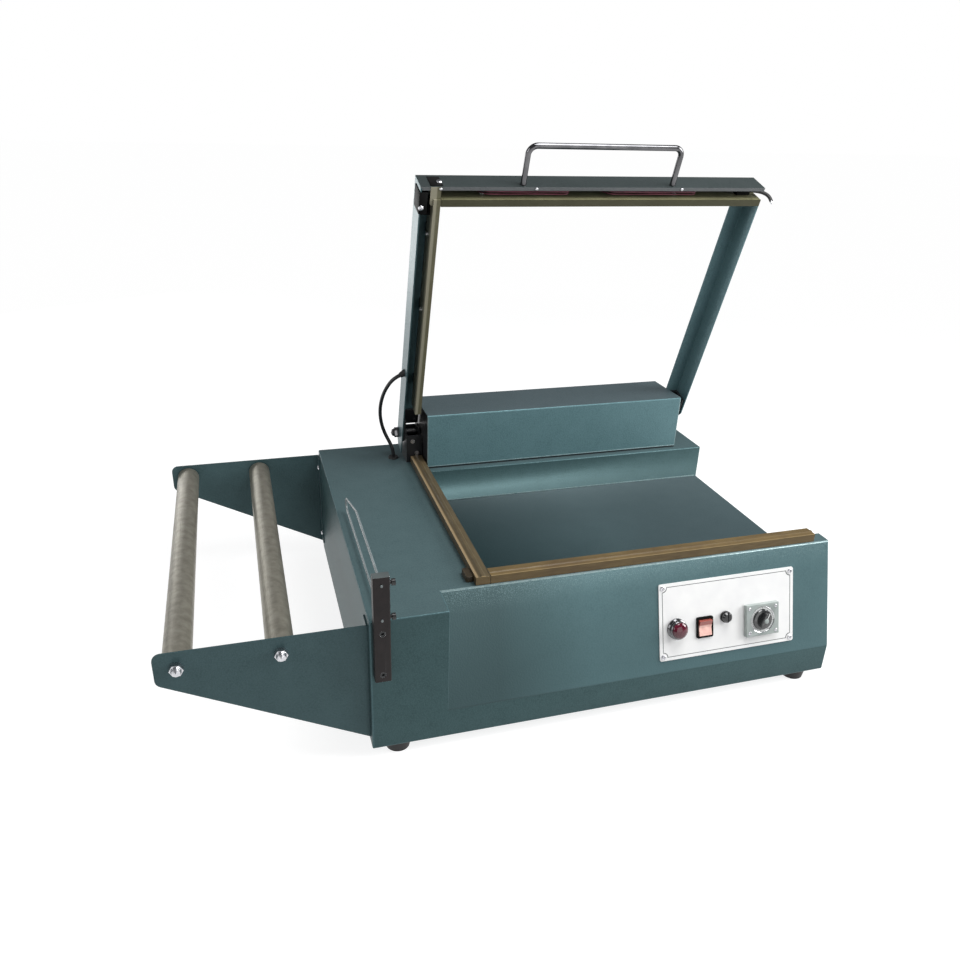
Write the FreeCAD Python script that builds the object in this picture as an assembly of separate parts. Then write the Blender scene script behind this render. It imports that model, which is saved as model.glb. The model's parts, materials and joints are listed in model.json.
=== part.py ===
import FreeCAD, Part
import math
import os

# L bar sealer: a bench machine that seals and cuts film along two bars set in an L.
# Units are millimetres, +Z is up, the operator stands on the -Y side.
# Everything is drawn from the cabinet's lower front left corner and moved at the end
# to the centre of the footprint at floor level.

V = FreeCAD.Vector
X_AXIS = V(1, 0, 0)
Y_AXIS = V(0, 1, 0)
Z_AXIS = V(0, 0, 1)

# ---- driving dimensions -------------------------------------------------------------
# cabinet
cabinet_width = 672.0
cabinet_depth = 535.0
cabinet_height = 192.6
sheet = 2.0                    # folded sheet steel
plinth_height = 41.8           # upright strip under the slanted control panel
panel_setback = 45.6           # how far the slanted panel leans back at its top
left_block_width = 98.4        # full height block left of the panel
tray_depth = 57.5
tray_front = 69.5              # front wall of the tray
tray_rear = cabinet_depth - 130.0
tray_left = 166.0
base_sheet = 2.0
base_flange = 12.0             # lip under the base plate's edge
fit_gap = 0.3                  # flat clearance between pieces that slide past or drop in
hole_play = 0.1                # radial play of a screw in its hole

# feet
foot_radius = 18.0
foot_taper = 2.5
foot_height = 15.5
foot_inset_x = 36.0
foot_inset_y = 20.0
foot_recess_radius = 8.0
foot_recess_depth = 6.0

# lower sealing bars
lower_bar_width = 18.0
lower_bar_height = 11.5
lower_bar_wall = 3.0
silicone_width = 6.0
silicone_height = 2.2
silicone_seat = 1.0            # depth of the strip in its groove
tape_thickness = 0.6
left_bar_x = 154.0             # centre line of the left sealing line
front_bar_y = 57.3             # centre line of the front sealing line
left_bar_rear = tray_rear + 42.0
front_bar_right = cabinet_width - 24.0

# swinging arm, drawn shut and turned open about the hinge shaft
pivot_y = cabinet_depth - 54.5
pivot_z = cabinet_height + 43.8
open_angle = 70.6
arm_rise = 9.0                 # top of the arm above the shaft when shut
arm_depth = 36.0
arm_sheet = 2.0
arm_left_x = 130.8
arm_right_x = front_bar_right + 2.5
front_bar_cover = 21.5         # front sealing line to the arm's front face
arm_reach = pivot_y - front_bar_y + front_bar_cover
arm_web_width = 34.0
arm_right_width = 25.0
arm_lip = 5.0                  # return lip along the front wall's lower edge
web_start = 12.0               # the arm's top plate begins this far from the shaft
left_tail = 23.0               # the left cheek goes on this far behind the shaft
right_tail = 14.0
tail_chamfer = 11.0
right_taper = 16.0             # the right cheek narrows from here to its tail
right_cheek_end = 24.0         # and stops this short of the arm's front
upper_bar_width = 8.6
upper_bar_top = 6.0            # space between the arm's top and the sealing bars
heater_width = 2.6
heater_thickness = 0.4
seal_gap = 0.3                 # between the shut bars
left_upper_start = 61.0

# hinge
shaft_radius = 5.0
running_fit = 0.05
bracket_sheet = 3.0
bracket_front_y = pivot_y - 30.5
bracket_left_width = 26.5
bracket_right_width = 17.0
bracket_ear_radius = 13.0
bracket_front_top = pivot_z + 3.2
bracket_rear_top = pivot_z + 8.2
hinge_plate = 4.0
hinge_plate_length = 44.0
hinge_plate_start = 16.0
hinge_plate_ear = 14.0
hinge_plate_gap = 1.5          # between the arm's hinge plates and the brackets
housing_y0 = pivot_y - 65.0
housing_y1 = pivot_y + 33.9
housing_top = pivot_z + 49.7
housing_gap = 1.5              # between the brackets and the housing
housing_sheet = 1.5
housing_base = 3.0
housing_reveal = 0.8
spring_wire = 4.0
spring_turns = 3
spring_pitch = 7.0
spring_offset = 42.0
spring_play = 0.6              # between the coils and the shaft

# handle
handle_rod = 4.0
handle_left_x = 274.7
handle_span = 226.0
handle_nut_flats = 9.0
handle_reach = 53.5
handle_bend = 12.0
handle_depth = 28.5            # below the arm's top face

# control panel, measured along the slope from the fold and across from the left
plate_x0 = cabinet_width - 273.0
plate_width = 212.0
plate_t0 = 18.0
plate_height = 109.0
plate_thickness = 1.5
plate_screw_inset = 5.5
lamp_x = plate_x0 + 26.0
lamp_t = plate_t0 + 44.0
lamp_bezel_radius = 14.5
lamp_lens_radius = 11.0
lamp_body_radius = 11.0
rocker_x = plate_x0 + 69.0
rocker_t = plate_t0 + 40.5
rocker_frame_width = 25.5
rocker_frame_height = 30.0
rocker_width = 20.0
rocker_height = 24.0
rocker_tilt = 12.0
fuse_x = plate_x0 + 102.0
fuse_t = plate_t0 + 50.5
fuse_radius = 8.3
timer_x = plate_x0 + 158.0
timer_t = plate_t0 + 40.1
timer_width = 52.0
timer_height = 46.0
timer_bezel = 6.5
timer_body_depth = 40.0
timer_knob_radius = 14.0

# film roll stand
stand_end_x = -242.5
stand_top = cabinet_height - 10.9
stand_end_bottom = stand_top - 41.7
stand_root_bottom = 12.0
stand_near_y = 10.0
stand_far_gap = 3.0
stand_sheet = 2.0
stand_corner = 10.0
stand_flange = 24.0
roller_outer_x = -217.3
roller_inner_x = -102.0
roller_z = stand_top - 20.7
roller_radius = 16.8
roller_wall = 1.5
roller_cap = 8.0
roller_side_gap = 1.5
axle_radius = 5.0
axle_nut_flats = 14.0

# film guide at the front left
guide_block_x0 = 4.0
guide_block_width = 20.0
guide_block_depth = 12.0
guide_block_z1 = cabinet_height + 66.4
guide_block_z0 = guide_block_z1 - 146.0
guide_rod = 1.5
guide_upper_z = guide_block_z1 - 11.0
guide_lower_z = guide_upper_z - 47.0
guide_slope_y = 178.0          # the upper rod turns down here
guide_end_y = 285.0
guide_nose = 16.0              # upright stretch at the loop's end
guide_bend = 7.0
guide_screw_z = (guide_block_z0 + 10.0, guide_block_z0 + 69.0)
thumb_radius = 4.2

# lead from the cabinet to the arm
cable_radius = 3.0
cable_x = 120.0
cable_y = pivot_y - 6.5
cable_arm_s = 132.0
cable_arm_w = 20.0
boot_length = 8.0
boot_lean = 30.0               # the boot leans towards the shaft

# ---- helpers --------------------------------------------------------------------------


def box(x0, x1, y0, y1, z0, z1):
    return Part.makeBox(x1 - x0, y1 - y0, z1 - z0, V(x0, y0, z0))


def rod(x, y, z, radius, length, axis):
    return Part.makeCylinder(radius, length, V(x, y, z), axis)


def prism(points, along):
    """Straight extrusion of a closed outline given by its corner points."""
    corners = [V(*p) for p in points]
    wire = Part.makePolygon(corners + corners[:1])
    return Part.Face(wire).extrude(along)


def join(shapes):
    result = shapes[0]
    for shape in shapes[1:]:
        result = result.fuse(shape)
    return result.removeSplitter()


def cut_all(shape, tools):
    for tool in tools:
        shape = shape.cut(tool)
    return shape


def turned(profile, base, axis):
    """Solid of revolution: profile is (radius, distance along the axis) pairs."""
    points = [V(r, 0, h) for r, h in profile]
    face = Part.Face(Part.makePolygon(points + points[:1]))
    solid = face.revolve(V(0, 0, 0), Z_AXIS, 360)
    solid.Placement = FreeCAD.Placement(base, FreeCAD.Rotation(Z_AXIS, axis))
    return solid


def pan_screw(base, axis, head_radius, head_height, shank_radius, length):
    """Screw whose head stands on base and whose shank runs against axis."""
    head = Part.makeCylinder(head_radius, head_height, base, axis)
    shank = Part.makeCylinder(shank_radius, length, base - axis * length, axis)
    return head.fuse(shank)


def shank_hole(base, axis, shank_radius, length):
    start = base - axis * length
    return Part.makeCylinder(shank_radius + hole_play, length, start, axis)


def hexagon(base, axis, across_flats, height):
    radius = across_flats / math.sqrt(3)
    points = []
    for i in range(6):
        angle = math.radians(60 * i)
        points.append(V(radius * math.cos(angle), radius * math.sin(angle), 0))
    solid = Part.Face(Part.makePolygon(points + points[:1])).extrude(V(0, 0, height))
    solid.Placement = FreeCAD.Placement(base, FreeCAD.Rotation(Z_AXIS, axis))
    return solid


def dome_nut(base, axis, across_flats, bore_radius, bore_depth):
    """Cap nut: hexagon with a domed end and a blind bore."""
    body = hexagon(base, axis, across_flats, 0.5 * across_flats)
    radius = 0.46 * across_flats
    start = 0.5 * across_flats
    dome = turned([(0, start), (radius, start), (0.75 * radius, start + 4.0), (0, start + 6.0)],
                  base, axis)
    bore = Part.makeCylinder(bore_radius, bore_depth, base, axis)
    return join([body, dome]).cut(bore)


def bent_path(points, radii):
    """Straight runs through the points, joined by tangent arcs of the given radii."""
    edges = []
    start = points[0]
    for i in range(1, len(points) - 1):
        into = (points[i] - points[i - 1]).normalize()
        out = (points[i + 1] - points[i]).normalize()
        turn = into.getAngle(out)
        setback = radii[i - 1] * math.tan(turn / 2)
        first = points[i] - into * setback
        last = points[i] + out * setback
        inward = (out - into).normalize()
        reach = radii[i - 1] / math.cos(turn / 2) - radii[i - 1]
        middle = points[i] + inward * reach
        edges.append(Part.makeLine(start, first))
        edges.append(Part.Arc(first, middle, last).toShape())
        start = last
    edges.append(Part.makeLine(start, points[-1]))
    return Part.Wire(edges)


def tube_along(path, radius, start, direction):
    profile = Part.Wire([Part.makeCircle(radius, start, direction)])
    return path.makePipeShell([profile], True, False)


def cord_radii(points):
    """Arc radii for a cord's route: 0.45 of the shorter run, by the half turn."""
    radii = []
    for i in range(1, len(points) - 1):
        before = points[i] - points[i - 1]
        after = points[i + 1] - points[i]
        shorter = min(before.Length, after.Length)
        radii.append(0.45 * shorter / math.tan(before.getAngle(after) / 2))
    return radii


parts = {}


def keep(name, shape):
    parts[name] = shape


# ---- cabinet ----------------------------------------------------------------------------
lean = math.degrees(math.atan2(panel_setback, cabinet_height - plinth_height))
panel_slope = panel_setback / (cabinet_height - plinth_height)
tray_floor = cabinet_height - tray_depth
plane_shift = sheet / math.cos(math.radians(lean))


def on_panel(shape):
    """Leans a shape drawn on the upright plane above the fold back onto the panel."""
    shape.rotate(V(0, 0, plinth_height), X_AXIS, -lean)
    return shape


def panel_point(x, t, out):
    point = V(x, -out, plinth_height + t)
    turn = FreeCAD.Rotation(X_AXIS, -lean)
    pivot = V(0, 0, plinth_height)
    return turn.multVec(point - pivot) + pivot


panel_normal = FreeCAD.Rotation(X_AXIS, -lean).multVec(V(0, -1, 0))


def cabinet_form(inset, lift):
    """Outer form of the cabinet, shrunk by inset, with its floor raised by lift."""
    right = cabinet_width - inset
    top = cabinet_height - inset
    body = box(inset, right, inset, cabinet_depth - inset, lift, top)
    shift = inset / math.cos(math.radians(lean))
    fold_y = inset
    fold_z = plinth_height + (inset - shift) / panel_slope
    top_y = panel_slope * (cabinet_height + 1 - plinth_height) + shift
    step_x = left_block_width - inset
    wedge = prism([(step_x, fold_y, fold_z), (step_x, top_y, cabinet_height + 1),
                   (step_x, -1, cabinet_height + 1), (step_x, -1, fold_z)],
                  V(cabinet_width, 0, 0))
    tray = box(tray_left - inset, cabinet_width + 1, tray_front - inset, tray_rear + inset,
               tray_floor - inset, cabinet_height + 1)
    return cut_all(body, [wedge, tray])


cabinet = cabinet_form(0, 0).cut(cabinet_form(sheet, -1))
base_plate = box(sheet + fit_gap, cabinet_width - sheet - fit_gap, sheet + fit_gap,
                 cabinet_depth - sheet - fit_gap, 0, base_sheet)
lips = box(sheet, cabinet_width - sheet, sheet, cabinet_depth - sheet, base_sheet,
           base_sheet + sheet)
lips = lips.cut(box(sheet + base_flange, cabinet_width - sheet - base_flange,
                    sheet + base_flange, cabinet_depth - sheet - base_flange, 0, 20))
cabinet = cabinet.fuse(lips).removeSplitter()

# ---- feet -------------------------------------------------------------------------------
foot_screw_radius = 2.5
foot_screws = []
feet = []
for x in (foot_inset_x, cabinet_width - foot_inset_x):
    for y in (foot_inset_y, cabinet_depth - foot_inset_y):
        foot = turned([(0, 0), (foot_radius, 0), (foot_radius - foot_taper, -foot_height),
                       (foot_recess_radius, -foot_height),
                       (foot_recess_radius, foot_recess_depth - foot_height),
                       (0, foot_recess_depth - foot_height)], V(x, y, 0), Z_AXIS)
        seat = V(x, y, foot_recess_depth - foot_height)
        reach = foot_height - foot_recess_depth + base_sheet + 4
        bore = shank_hole(seat, V(0, 0, -1), foot_screw_radius, reach)
        foot_screws.append(pan_screw(seat, V(0, 0, -1), 5.0, 3.0, foot_screw_radius, reach))
        base_plate = base_plate.cut(bore)
        feet.append(foot.cut(bore))
keep("rubber_feet", Part.makeCompound(feet))
keep("foot_screws", Part.makeCompound(foot_screws))

# ---- control panel ------------------------------------------------------------------------


def upright(x, t, out0, out1, half_width, half_height):
    """Block on the upright panel plane, centred on x, t and standing out0 to out1."""
    z = plinth_height + t
    return box(x - half_width, x + half_width, -out1, -out0, z - half_height, z + half_height)


def boss(x, t, out0, out1, radius):
    """Cylinder square to the panel, from out0 to out1 in front of it."""
    return rod(x, -out1, plinth_height + t, radius, out1 - out0, Y_AXIS)


def cut_out(x, t, half_width, half_height):
    return upright(x, t, -2 * plane_shift, plate_thickness + 1, half_width, half_height)


panel_holes = [
    boss(lamp_x, lamp_t, -6, plate_thickness + 1, lamp_body_radius + hole_play),
    boss(fuse_x, fuse_t, -6, plate_thickness + 1, fuse_radius - 1.5 + hole_play),
    cut_out(rocker_x, rocker_t, rocker_width / 2 + 1.2, rocker_height / 2 + 1.2),
    cut_out(timer_x, timer_t, timer_width / 2 - 1.5, timer_height / 2 - 1.5),
]
plate_screw_radius = 1.5
plate_screw_length = plate_thickness + sheet + 3
plate_screws = []
plate_screw_holes = []
for x in (plate_x0 + plate_screw_inset, plate_x0 + plate_width - plate_screw_inset):
    for t in (plate_t0 + plate_screw_inset, plate_t0 + plate_height - plate_screw_inset):
        seat = V(x, -plate_thickness, plinth_height + t)
        plate_screws.append(on_panel(pan_screw(seat, V(0, -1, 0), 3.0, 1.8, plate_screw_radius,
                                               plate_screw_length)))
        plate_screw_holes.append(shank_hole(seat, V(0, -1, 0), plate_screw_radius,
                                            plate_screw_length))
plate = upright(plate_x0 + plate_width / 2, plate_t0 + plate_height / 2, 0, plate_thickness,
                plate_width / 2, plate_height / 2)
plate_corners = [edge for edge in plate.Edges
                 if abs(edge.Length - plate_thickness) < 0.01]
plate = plate.makeFillet(3.0, plate_corners)
keep("control_plate", on_panel(cut_all(plate, panel_holes + plate_screw_holes)))
keep("control_plate_screws", Part.makeCompound(plate_screws))
cabinet = cut_all(cabinet, [on_panel(tool.copy()) for tool in panel_holes + plate_screw_holes])

# pilot lamp: threaded body with a turned bezel, and a domed lens pressed into it
lens_seat = 5.0
lens_out = 13.8                # how far the lens stands in front of the plate
bezel = turned([(0, -22), (lamp_body_radius, -22), (lamp_body_radius, 0),
                (lamp_bezel_radius, 0), (lamp_bezel_radius, 2.2),
                (lamp_bezel_radius - 2.0, lens_seat), (lamp_lens_radius + hole_play, lens_seat),
                (lamp_lens_radius + hole_play, 1.0), (0, 1.0)],
               V(lamp_x, -plate_thickness, plinth_height + lamp_t), V(0, -1, 0))
lens = turned([(0, 1.0), (lamp_lens_radius, 1.0), (lamp_lens_radius, lens_out - 3.6),
               (0.86 * lamp_lens_radius, lens_out - 1.2), (0.55 * lamp_lens_radius, lens_out),
               (0, lens_out + 0.6)],
              V(lamp_x, -plate_thickness, plinth_height + lamp_t), V(0, -1, 0))
keep("lamp_bezel", on_panel(bezel))
keep("lamp_lens", on_panel(lens))

# rocker switch: frame with a body behind the panel, rocker tilting on a pin line
frame_out = 2.2
rocker_swing = 6.0
frame = upright(rocker_x, rocker_t, plate_thickness, plate_thickness + frame_out,
                rocker_frame_width / 2, rocker_frame_height / 2)
frame_corners = [edge for edge in frame.Edges if abs(edge.Length - frame_out) < 0.01]
frame = frame.makeFillet(2.5, frame_corners)
shell_block = upright(rocker_x, rocker_t, -18, plate_thickness, rocker_width / 2 + 1,
                      rocker_height / 2 + 1)
pocket = upright(rocker_x, rocker_t, -rocker_swing - 4, plate_thickness + frame_out + 1,
                 rocker_width / 2, rocker_height / 2)
rocker_pivot_out = plate_thickness - 1.0
rocker_pin_radius = 1.5
rocker_pin_length = 0.7
rocker_side_gap = 0.5
pin_hole = rod(rocker_x - rocker_width / 2 - rocker_pin_length - 0.1, -rocker_pivot_out,
               plinth_height + rocker_t, rocker_pin_radius + running_fit,
               rocker_width + 2 * rocker_pin_length + 0.2, X_AXIS)
rocker_case = join([frame, shell_block])
keep("rocker_frame", on_panel(cut_all(rocker_case, [pocket, pin_hole])))

rocker_half = rocker_height / 2 - 1.1
rocker_z = plinth_height + rocker_t
crown = 6.2
dish = 3.4
left_face = rocker_x - rocker_width / 2 + rocker_side_gap
outline = [(left_face, -rocker_pivot_out - dish, rocker_z),
           (left_face, -rocker_pivot_out - crown, rocker_z + rocker_half),
           (left_face, -rocker_pivot_out + 1.0, rocker_z + rocker_half),
           (left_face, -rocker_pivot_out + 4.5, rocker_z + 4.0),
           (left_face, -rocker_pivot_out + 4.5, rocker_z - 4.0),
           (left_face, -rocker_pivot_out + 1.0, rocker_z - rocker_half),
           (left_face, -rocker_pivot_out - crown, rocker_z - rocker_half)]
rocker = prism(outline, V(rocker_width - 2 * rocker_side_gap, 0, 0))
pin = rod(rocker_x - rocker_width / 2 - rocker_pin_length, -rocker_pivot_out, rocker_z,
          rocker_pin_radius, rocker_width + 2 * rocker_pin_length, X_AXIS)
rocker = rocker.fuse(pin).removeSplitter()
rocker.rotate(V(rocker_x, -rocker_pivot_out, rocker_z), X_AXIS, rocker_tilt / 2)
keep("rocker", on_panel(rocker))

# fuse holder: threaded body with a collar, and a bayonet cap
fuse_collar = 2.5
fuse_cap_height = 6.0
fuse_base = V(fuse_x, -plate_thickness, plinth_height + fuse_t)
fuse_bore = 4.2
keep("fuse_body", on_panel(turned([(fuse_bore, -26), (fuse_radius - 1.5, -26),
                                   (fuse_radius - 1.5, 0), (fuse_radius, 0),
                                   (fuse_radius, fuse_collar), (fuse_bore, fuse_collar)],
                                  fuse_base, V(0, -1, 0))))
cap = turned([(0, -14), (fuse_bore - 0.3, -14), (fuse_bore - 0.3, fuse_collar + fit_gap),
              (fuse_radius - 0.8, fuse_collar + fit_gap), (fuse_radius - 0.8, fuse_collar + 3.4),
              (fuse_radius - 3.0, fuse_collar + fuse_cap_height),
              (0, fuse_collar + fuse_cap_height)],
             fuse_base, V(0, -1, 0))
slot_out = plate_thickness + fuse_collar + fuse_cap_height
cap = cap.cut(upright(fuse_x, fuse_t, slot_out - 1.5, slot_out + 1, 0.8, fuse_radius))
keep("fuse_cap", on_panel(cap))

# timer: square case through the panel with a raised dial rim, and its knob
dial_radius = 19.0
dial_rim = 2.0
case = join([
    upright(timer_x, timer_t, plate_thickness, plate_thickness + timer_bezel,
            timer_width / 2, timer_height / 2),
    upright(timer_x, timer_t, -timer_body_depth, plate_thickness, timer_width / 2 - 2.0,
            timer_height / 2 - 2.0),
])
dial_out = plate_thickness + timer_bezel
case = case.cut(boss(timer_x, timer_t, dial_out - dial_rim, dial_out + 1, dial_radius))
spindle_radius = 3.0
spindle_hole = boss(timer_x, timer_t, dial_out - 12, dial_out + 1, spindle_radius + running_fit)
keep("timer_case", on_panel(case.cut(spindle_hole)))
knob_seat = V(timer_x, -(dial_out - dial_rim), plinth_height + timer_t)
knob = turned([(0, -9), (spindle_radius, -9), (spindle_radius, fit_gap),
               (timer_knob_radius, fit_gap), (timer_knob_radius - 1.0, 4.0),
               (timer_knob_radius - 5.0, 5.0), (timer_knob_radius - 7.0, 11.0),
               (0, 11.0)], knob_seat, V(0, -1, 0))
pointer = upright(timer_x, timer_t + timer_knob_radius / 2, dial_out - dial_rim + 4.2,
                  dial_out - dial_rim + 6.5, 1.0, timer_knob_radius / 2 - 0.5)
knob = knob.fuse(pointer).removeSplitter()
keep("timer_knob", on_panel(knob))

# ---- lower sealing bars -------------------------------------------------------------------
bar_base = cabinet_height
bar_top = bar_base + lower_bar_height
half_bar = lower_bar_width / 2
strip_top = bar_top - silicone_seat + silicone_height
tape_top = strip_top + tape_thickness
front_bar_y0 = front_bar_y - half_bar
left_bar_front = front_bar_y0


def bar_channel(length):
    """Inverted channel along +X, centred on y = 0, with a groove for the strip."""
    body = box(0, length, -half_bar, half_bar, 0, lower_bar_height)
    hollow = half_bar - lower_bar_wall
    body = body.cut(box(-1, length + 1, -hollow, hollow, -1, lower_bar_height - lower_bar_wall))
    groove = box(-1, length + 1, -silicone_width / 2, silicone_width / 2,
                 lower_bar_height - silicone_seat, lower_bar_height + 1)
    return body.cut(groove)


def bar_strip(length):
    """Silicone strip with a slightly rounded crown, seated in the groove."""
    half = silicone_width / 2
    low = lower_bar_height - silicone_seat
    return prism([(0, -half, low), (0, half, low), (0, half, low + silicone_height - 0.8),
                  (0, half - 1.4, low + silicone_height), (0, 1.4 - half, low + silicone_height),
                  (0, -half, low + silicone_height - 0.8)], V(length, 0, 0))


def bar_tape(length, tab):
    """Glass cloth tape over the strip and down both sides, tucked tab past the bar's end."""
    outer = half_bar + tape_thickness
    half = silicone_width / 2
    top = lower_bar_height
    crown_top = top - silicone_seat + silicone_height
    section = [(-outer, 0.5), (-outer, top + tape_thickness), (-half - 1.0, top + tape_thickness),
               (0.4 - half, crown_top - 0.1), (1.2 - half, crown_top + tape_thickness),
               (half - 1.2, crown_top + tape_thickness), (half - 0.4, crown_top - 0.1),
               (half + 1.0, top + tape_thickness), (outer, top + tape_thickness), (outer, 0.5)]
    skin = prism([(-tab, y, z) for y, z in section], V(length + tab, 0, 0))
    skin = skin.cut(box(0, length + 1, -half_bar, half_bar, -1, top))
    return skin.cut(bar_strip(length))


def lay_front(shape, x):
    shape.translate(V(x, front_bar_y, bar_base))
    return shape


def lay_left(shape, y):
    shape.rotate(V(0, 0, 0), Z_AXIS, 90)
    shape.translate(V(left_bar_x, y, bar_base))
    return shape


front_start = left_bar_x + half_bar + 2 * tape_thickness
front_length = front_bar_right - front_start
left_length = left_bar_rear - left_bar_front
keep("lower_jaw_left", lay_left(bar_channel(left_length), left_bar_front))
keep("lower_jaw_front", lay_front(bar_channel(front_length), front_start))
strips = [lay_left(bar_strip(left_length), left_bar_front),
          lay_front(bar_strip(front_length), front_start)]
keep("silicone_strips", Part.makeCompound(strips))
tapes = [lay_left(bar_tape(left_length, tape_thickness), left_bar_front),
         lay_front(bar_tape(front_length, 0), front_start)]
keep("lower_jaw_tapes", Part.makeCompound(tapes))
corner_setback = 9.5
corner_depth = 23.5
corner_width = 10.0
corner_height = 8.0
corner_x1 = left_bar_x - half_bar - tape_thickness
corner_y0 = left_bar_front + corner_setback
corner_block = box(corner_x1 - corner_width, corner_x1, corner_y0, corner_y0 + corner_depth,
                   bar_base, bar_base + corner_height)
corner_edges = [edge for edge in corner_block.Edges
                if abs(edge.Length - corner_height) < 0.01]
keep("jaw_corner_block", corner_block.makeFillet(2.0, corner_edges))

# ---- hinge -------------------------------------------------------------------------------


def bracket(x0, x1):
    """Folded bearing bracket: front and rear walls with two cheeks bored for the shaft."""
    low = cabinet_height
    rear = pivot_y + bracket_ear_radius
    cheeks = []
    for x in (x0, x1 - bracket_sheet):
        plate_shape = prism([(x, bracket_front_y, low), (x, bracket_front_y, bracket_front_top),
                             (x, pivot_y - shaft_radius, bracket_front_top),
                             (x, rear, bracket_rear_top), (x, rear, low)],
                            V(bracket_sheet, 0, 0))
        ear = rod(x, pivot_y, pivot_z, bracket_ear_radius, bracket_sheet, X_AXIS)
        cheeks.append(plate_shape.fuse(ear))
    front = box(x0, x1, bracket_front_y, bracket_front_y + bracket_sheet, low, bracket_front_top)
    back = box(x0, x1, rear - bracket_sheet, rear, low, bracket_rear_top)
    foot = box(x0, x1, bracket_front_y, rear, low, low + bracket_sheet)
    bore = rod(x0 - 1, pivot_y, pivot_z, shaft_radius + running_fit, x1 - x0 + 2, X_AXIS)
    return join(cheeks + [front, back, foot]).cut(bore)


left_inner = arm_left_x + arm_sheet
right_inner = arm_right_x - arm_sheet
bracket_left_x0 = left_inner + hinge_plate + hinge_plate_gap
bracket_left_x1 = bracket_left_x0 + bracket_left_width
bracket_right_x1 = right_inner - hinge_plate - hinge_plate_gap
bracket_right_x0 = bracket_right_x1 - bracket_right_width
housing_x0 = bracket_left_x1 + housing_gap
housing_x1 = bracket_right_x0 - housing_gap
bracket_left = bracket(bracket_left_x0, bracket_left_x1)
bracket_right = bracket(bracket_right_x0, bracket_right_x1)
bracket_screw_radius = 2.5
bracket_screws = []
foot_top = cabinet_height + bracket_sheet
foot_screw_pitch = 11.0
for x in ((bracket_left_x0 + bracket_left_x1) / 2, (bracket_right_x0 + bracket_right_x1) / 2):
    for y in (bracket_front_y + 12.0, bracket_front_y + 12.0 + foot_screw_pitch):
        seat = V(x, y, foot_top)
        length = bracket_sheet + sheet + 3
        bracket_screws.append(pan_screw(seat, Z_AXIS, 4.5, 3.0, bracket_screw_radius, length))
        hole = shank_hole(seat, Z_AXIS, bracket_screw_radius, length)
        bracket_left = bracket_left.cut(hole)
        bracket_right = bracket_right.cut(hole)
        cabinet = cabinet.cut(hole)
for across, down in ((10.0, 9.2), (17.4, 30.5)):
    seat = V(bracket_left_x0 + across, bracket_front_y, bracket_front_top - down)
    bracket_screws.append(pan_screw(seat, V(0, -1, 0), 3.6, 2.6, 2.0, bracket_sheet + 2))
    bracket_left = bracket_left.cut(shank_hole(seat, V(0, -1, 0), 2.0, bracket_sheet + 3))
keep("hinge_bracket_left", bracket_left)
keep("hinge_bracket_right", bracket_right)
keep("hinge_bracket_screws", Part.makeCompound(bracket_screws))

housing_base_top = cabinet_height + housing_base
keep("hinge_base_plate", box(housing_x0 + housing_reveal, housing_x1 - housing_reveal,
                             housing_y0 + housing_reveal, housing_y1 - housing_reveal,
                             cabinet_height, housing_base_top))
housing = box(housing_x0, housing_x1, housing_y0, housing_y1, housing_base_top, housing_top)
long_edges = [edge for edge in housing.Edges
              if edge.Length > 0.9 * (housing_x1 - housing_x0)
              and edge.BoundBox.ZMin > housing_base_top + 1]
housing = housing.makeFillet(2.5, long_edges)
housing_hollow = box(housing_x0 + housing_sheet, housing_x1 - housing_sheet,
                     housing_y0 + housing_sheet, housing_y1 - housing_sheet,
                     housing_base_top - 1, housing_top - housing_sheet)
notch_width = 6.0
notch_inset = 12.0
notches = [box(housing_x0 + notch_inset, housing_x0 + notch_inset + notch_width,
               housing_y0 - 1, housing_y0 + housing_sheet + 1, housing_base_top - 1,
               housing_base_top + 1.5)]
notches.append(box(housing_x1 - 80, housing_x1 - 80 + notch_width, housing_y0 - 1,
                   housing_y0 + housing_sheet + 1, housing_base_top - 1, housing_base_top + 1.5))
shaft_clear = rod(housing_x0 - 1, pivot_y, pivot_z, shaft_radius + 0.6,
                  housing_x1 - housing_x0 + 2, X_AXIS)
keep("hinge_housing", cut_all(housing, [housing_hollow, shaft_clear] + notches))

# torsion springs of square wire round the shaft
springs = []
coil_radius = shaft_radius + spring_play + spring_wire / 2
coil_length = spring_turns * spring_pitch
for x, hand in ((housing_x0 + spring_offset, False),
                (housing_x1 - spring_offset - coil_length, True)):
    helix = Part.makeHelix(spring_pitch, coil_length, coil_radius, 0, hand)
    inner = coil_radius - spring_wire / 2
    outer = coil_radius + spring_wire / 2
    half = spring_wire / 2
    section = Part.makePolygon([V(inner, 0, -half), V(outer, 0, -half), V(outer, 0, half),
                                V(inner, 0, half), V(inner, 0, -half)])
    coil = Part.Wire(helix.Edges).makePipeShell([section], True, True)
    coil.Placement = FreeCAD.Placement(V(x, pivot_y, pivot_z), FreeCAD.Rotation(Z_AXIS, X_AXIS))
    springs.append(coil)
keep("torsion_springs", Part.makeCompound(springs))

# ---- swinging arm -------------------------------------------------------------------------
arm_top_z = pivot_z + arm_rise


def arm_box(x0, x1, s0, s1, w0, w1):
    """Block on the shut arm: s is the distance from the shaft, w the depth below its top."""
    return box(x0, x1, pivot_y - s1, pivot_y - s0, arm_top_z - w1, arm_top_z - w0)


def arm_point(x, s, w):
    return V(x, pivot_y - s, arm_top_z - w)


def swung(shape):
    shape.rotate(V(0, pivot_y, pivot_z), X_AXIS, -open_angle)
    return shape


def swing_point(point):
    turn = FreeCAD.Rotation(X_AXIS, -open_angle)
    pivot = V(0, pivot_y, pivot_z)
    return turn.multVec(point - pivot) + pivot


def shaft_bore(x0, x1):
    return rod(x0 - 1, pivot_y, pivot_z, shaft_radius + hole_play, x1 - x0 + 2, X_AXIS)


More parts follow.
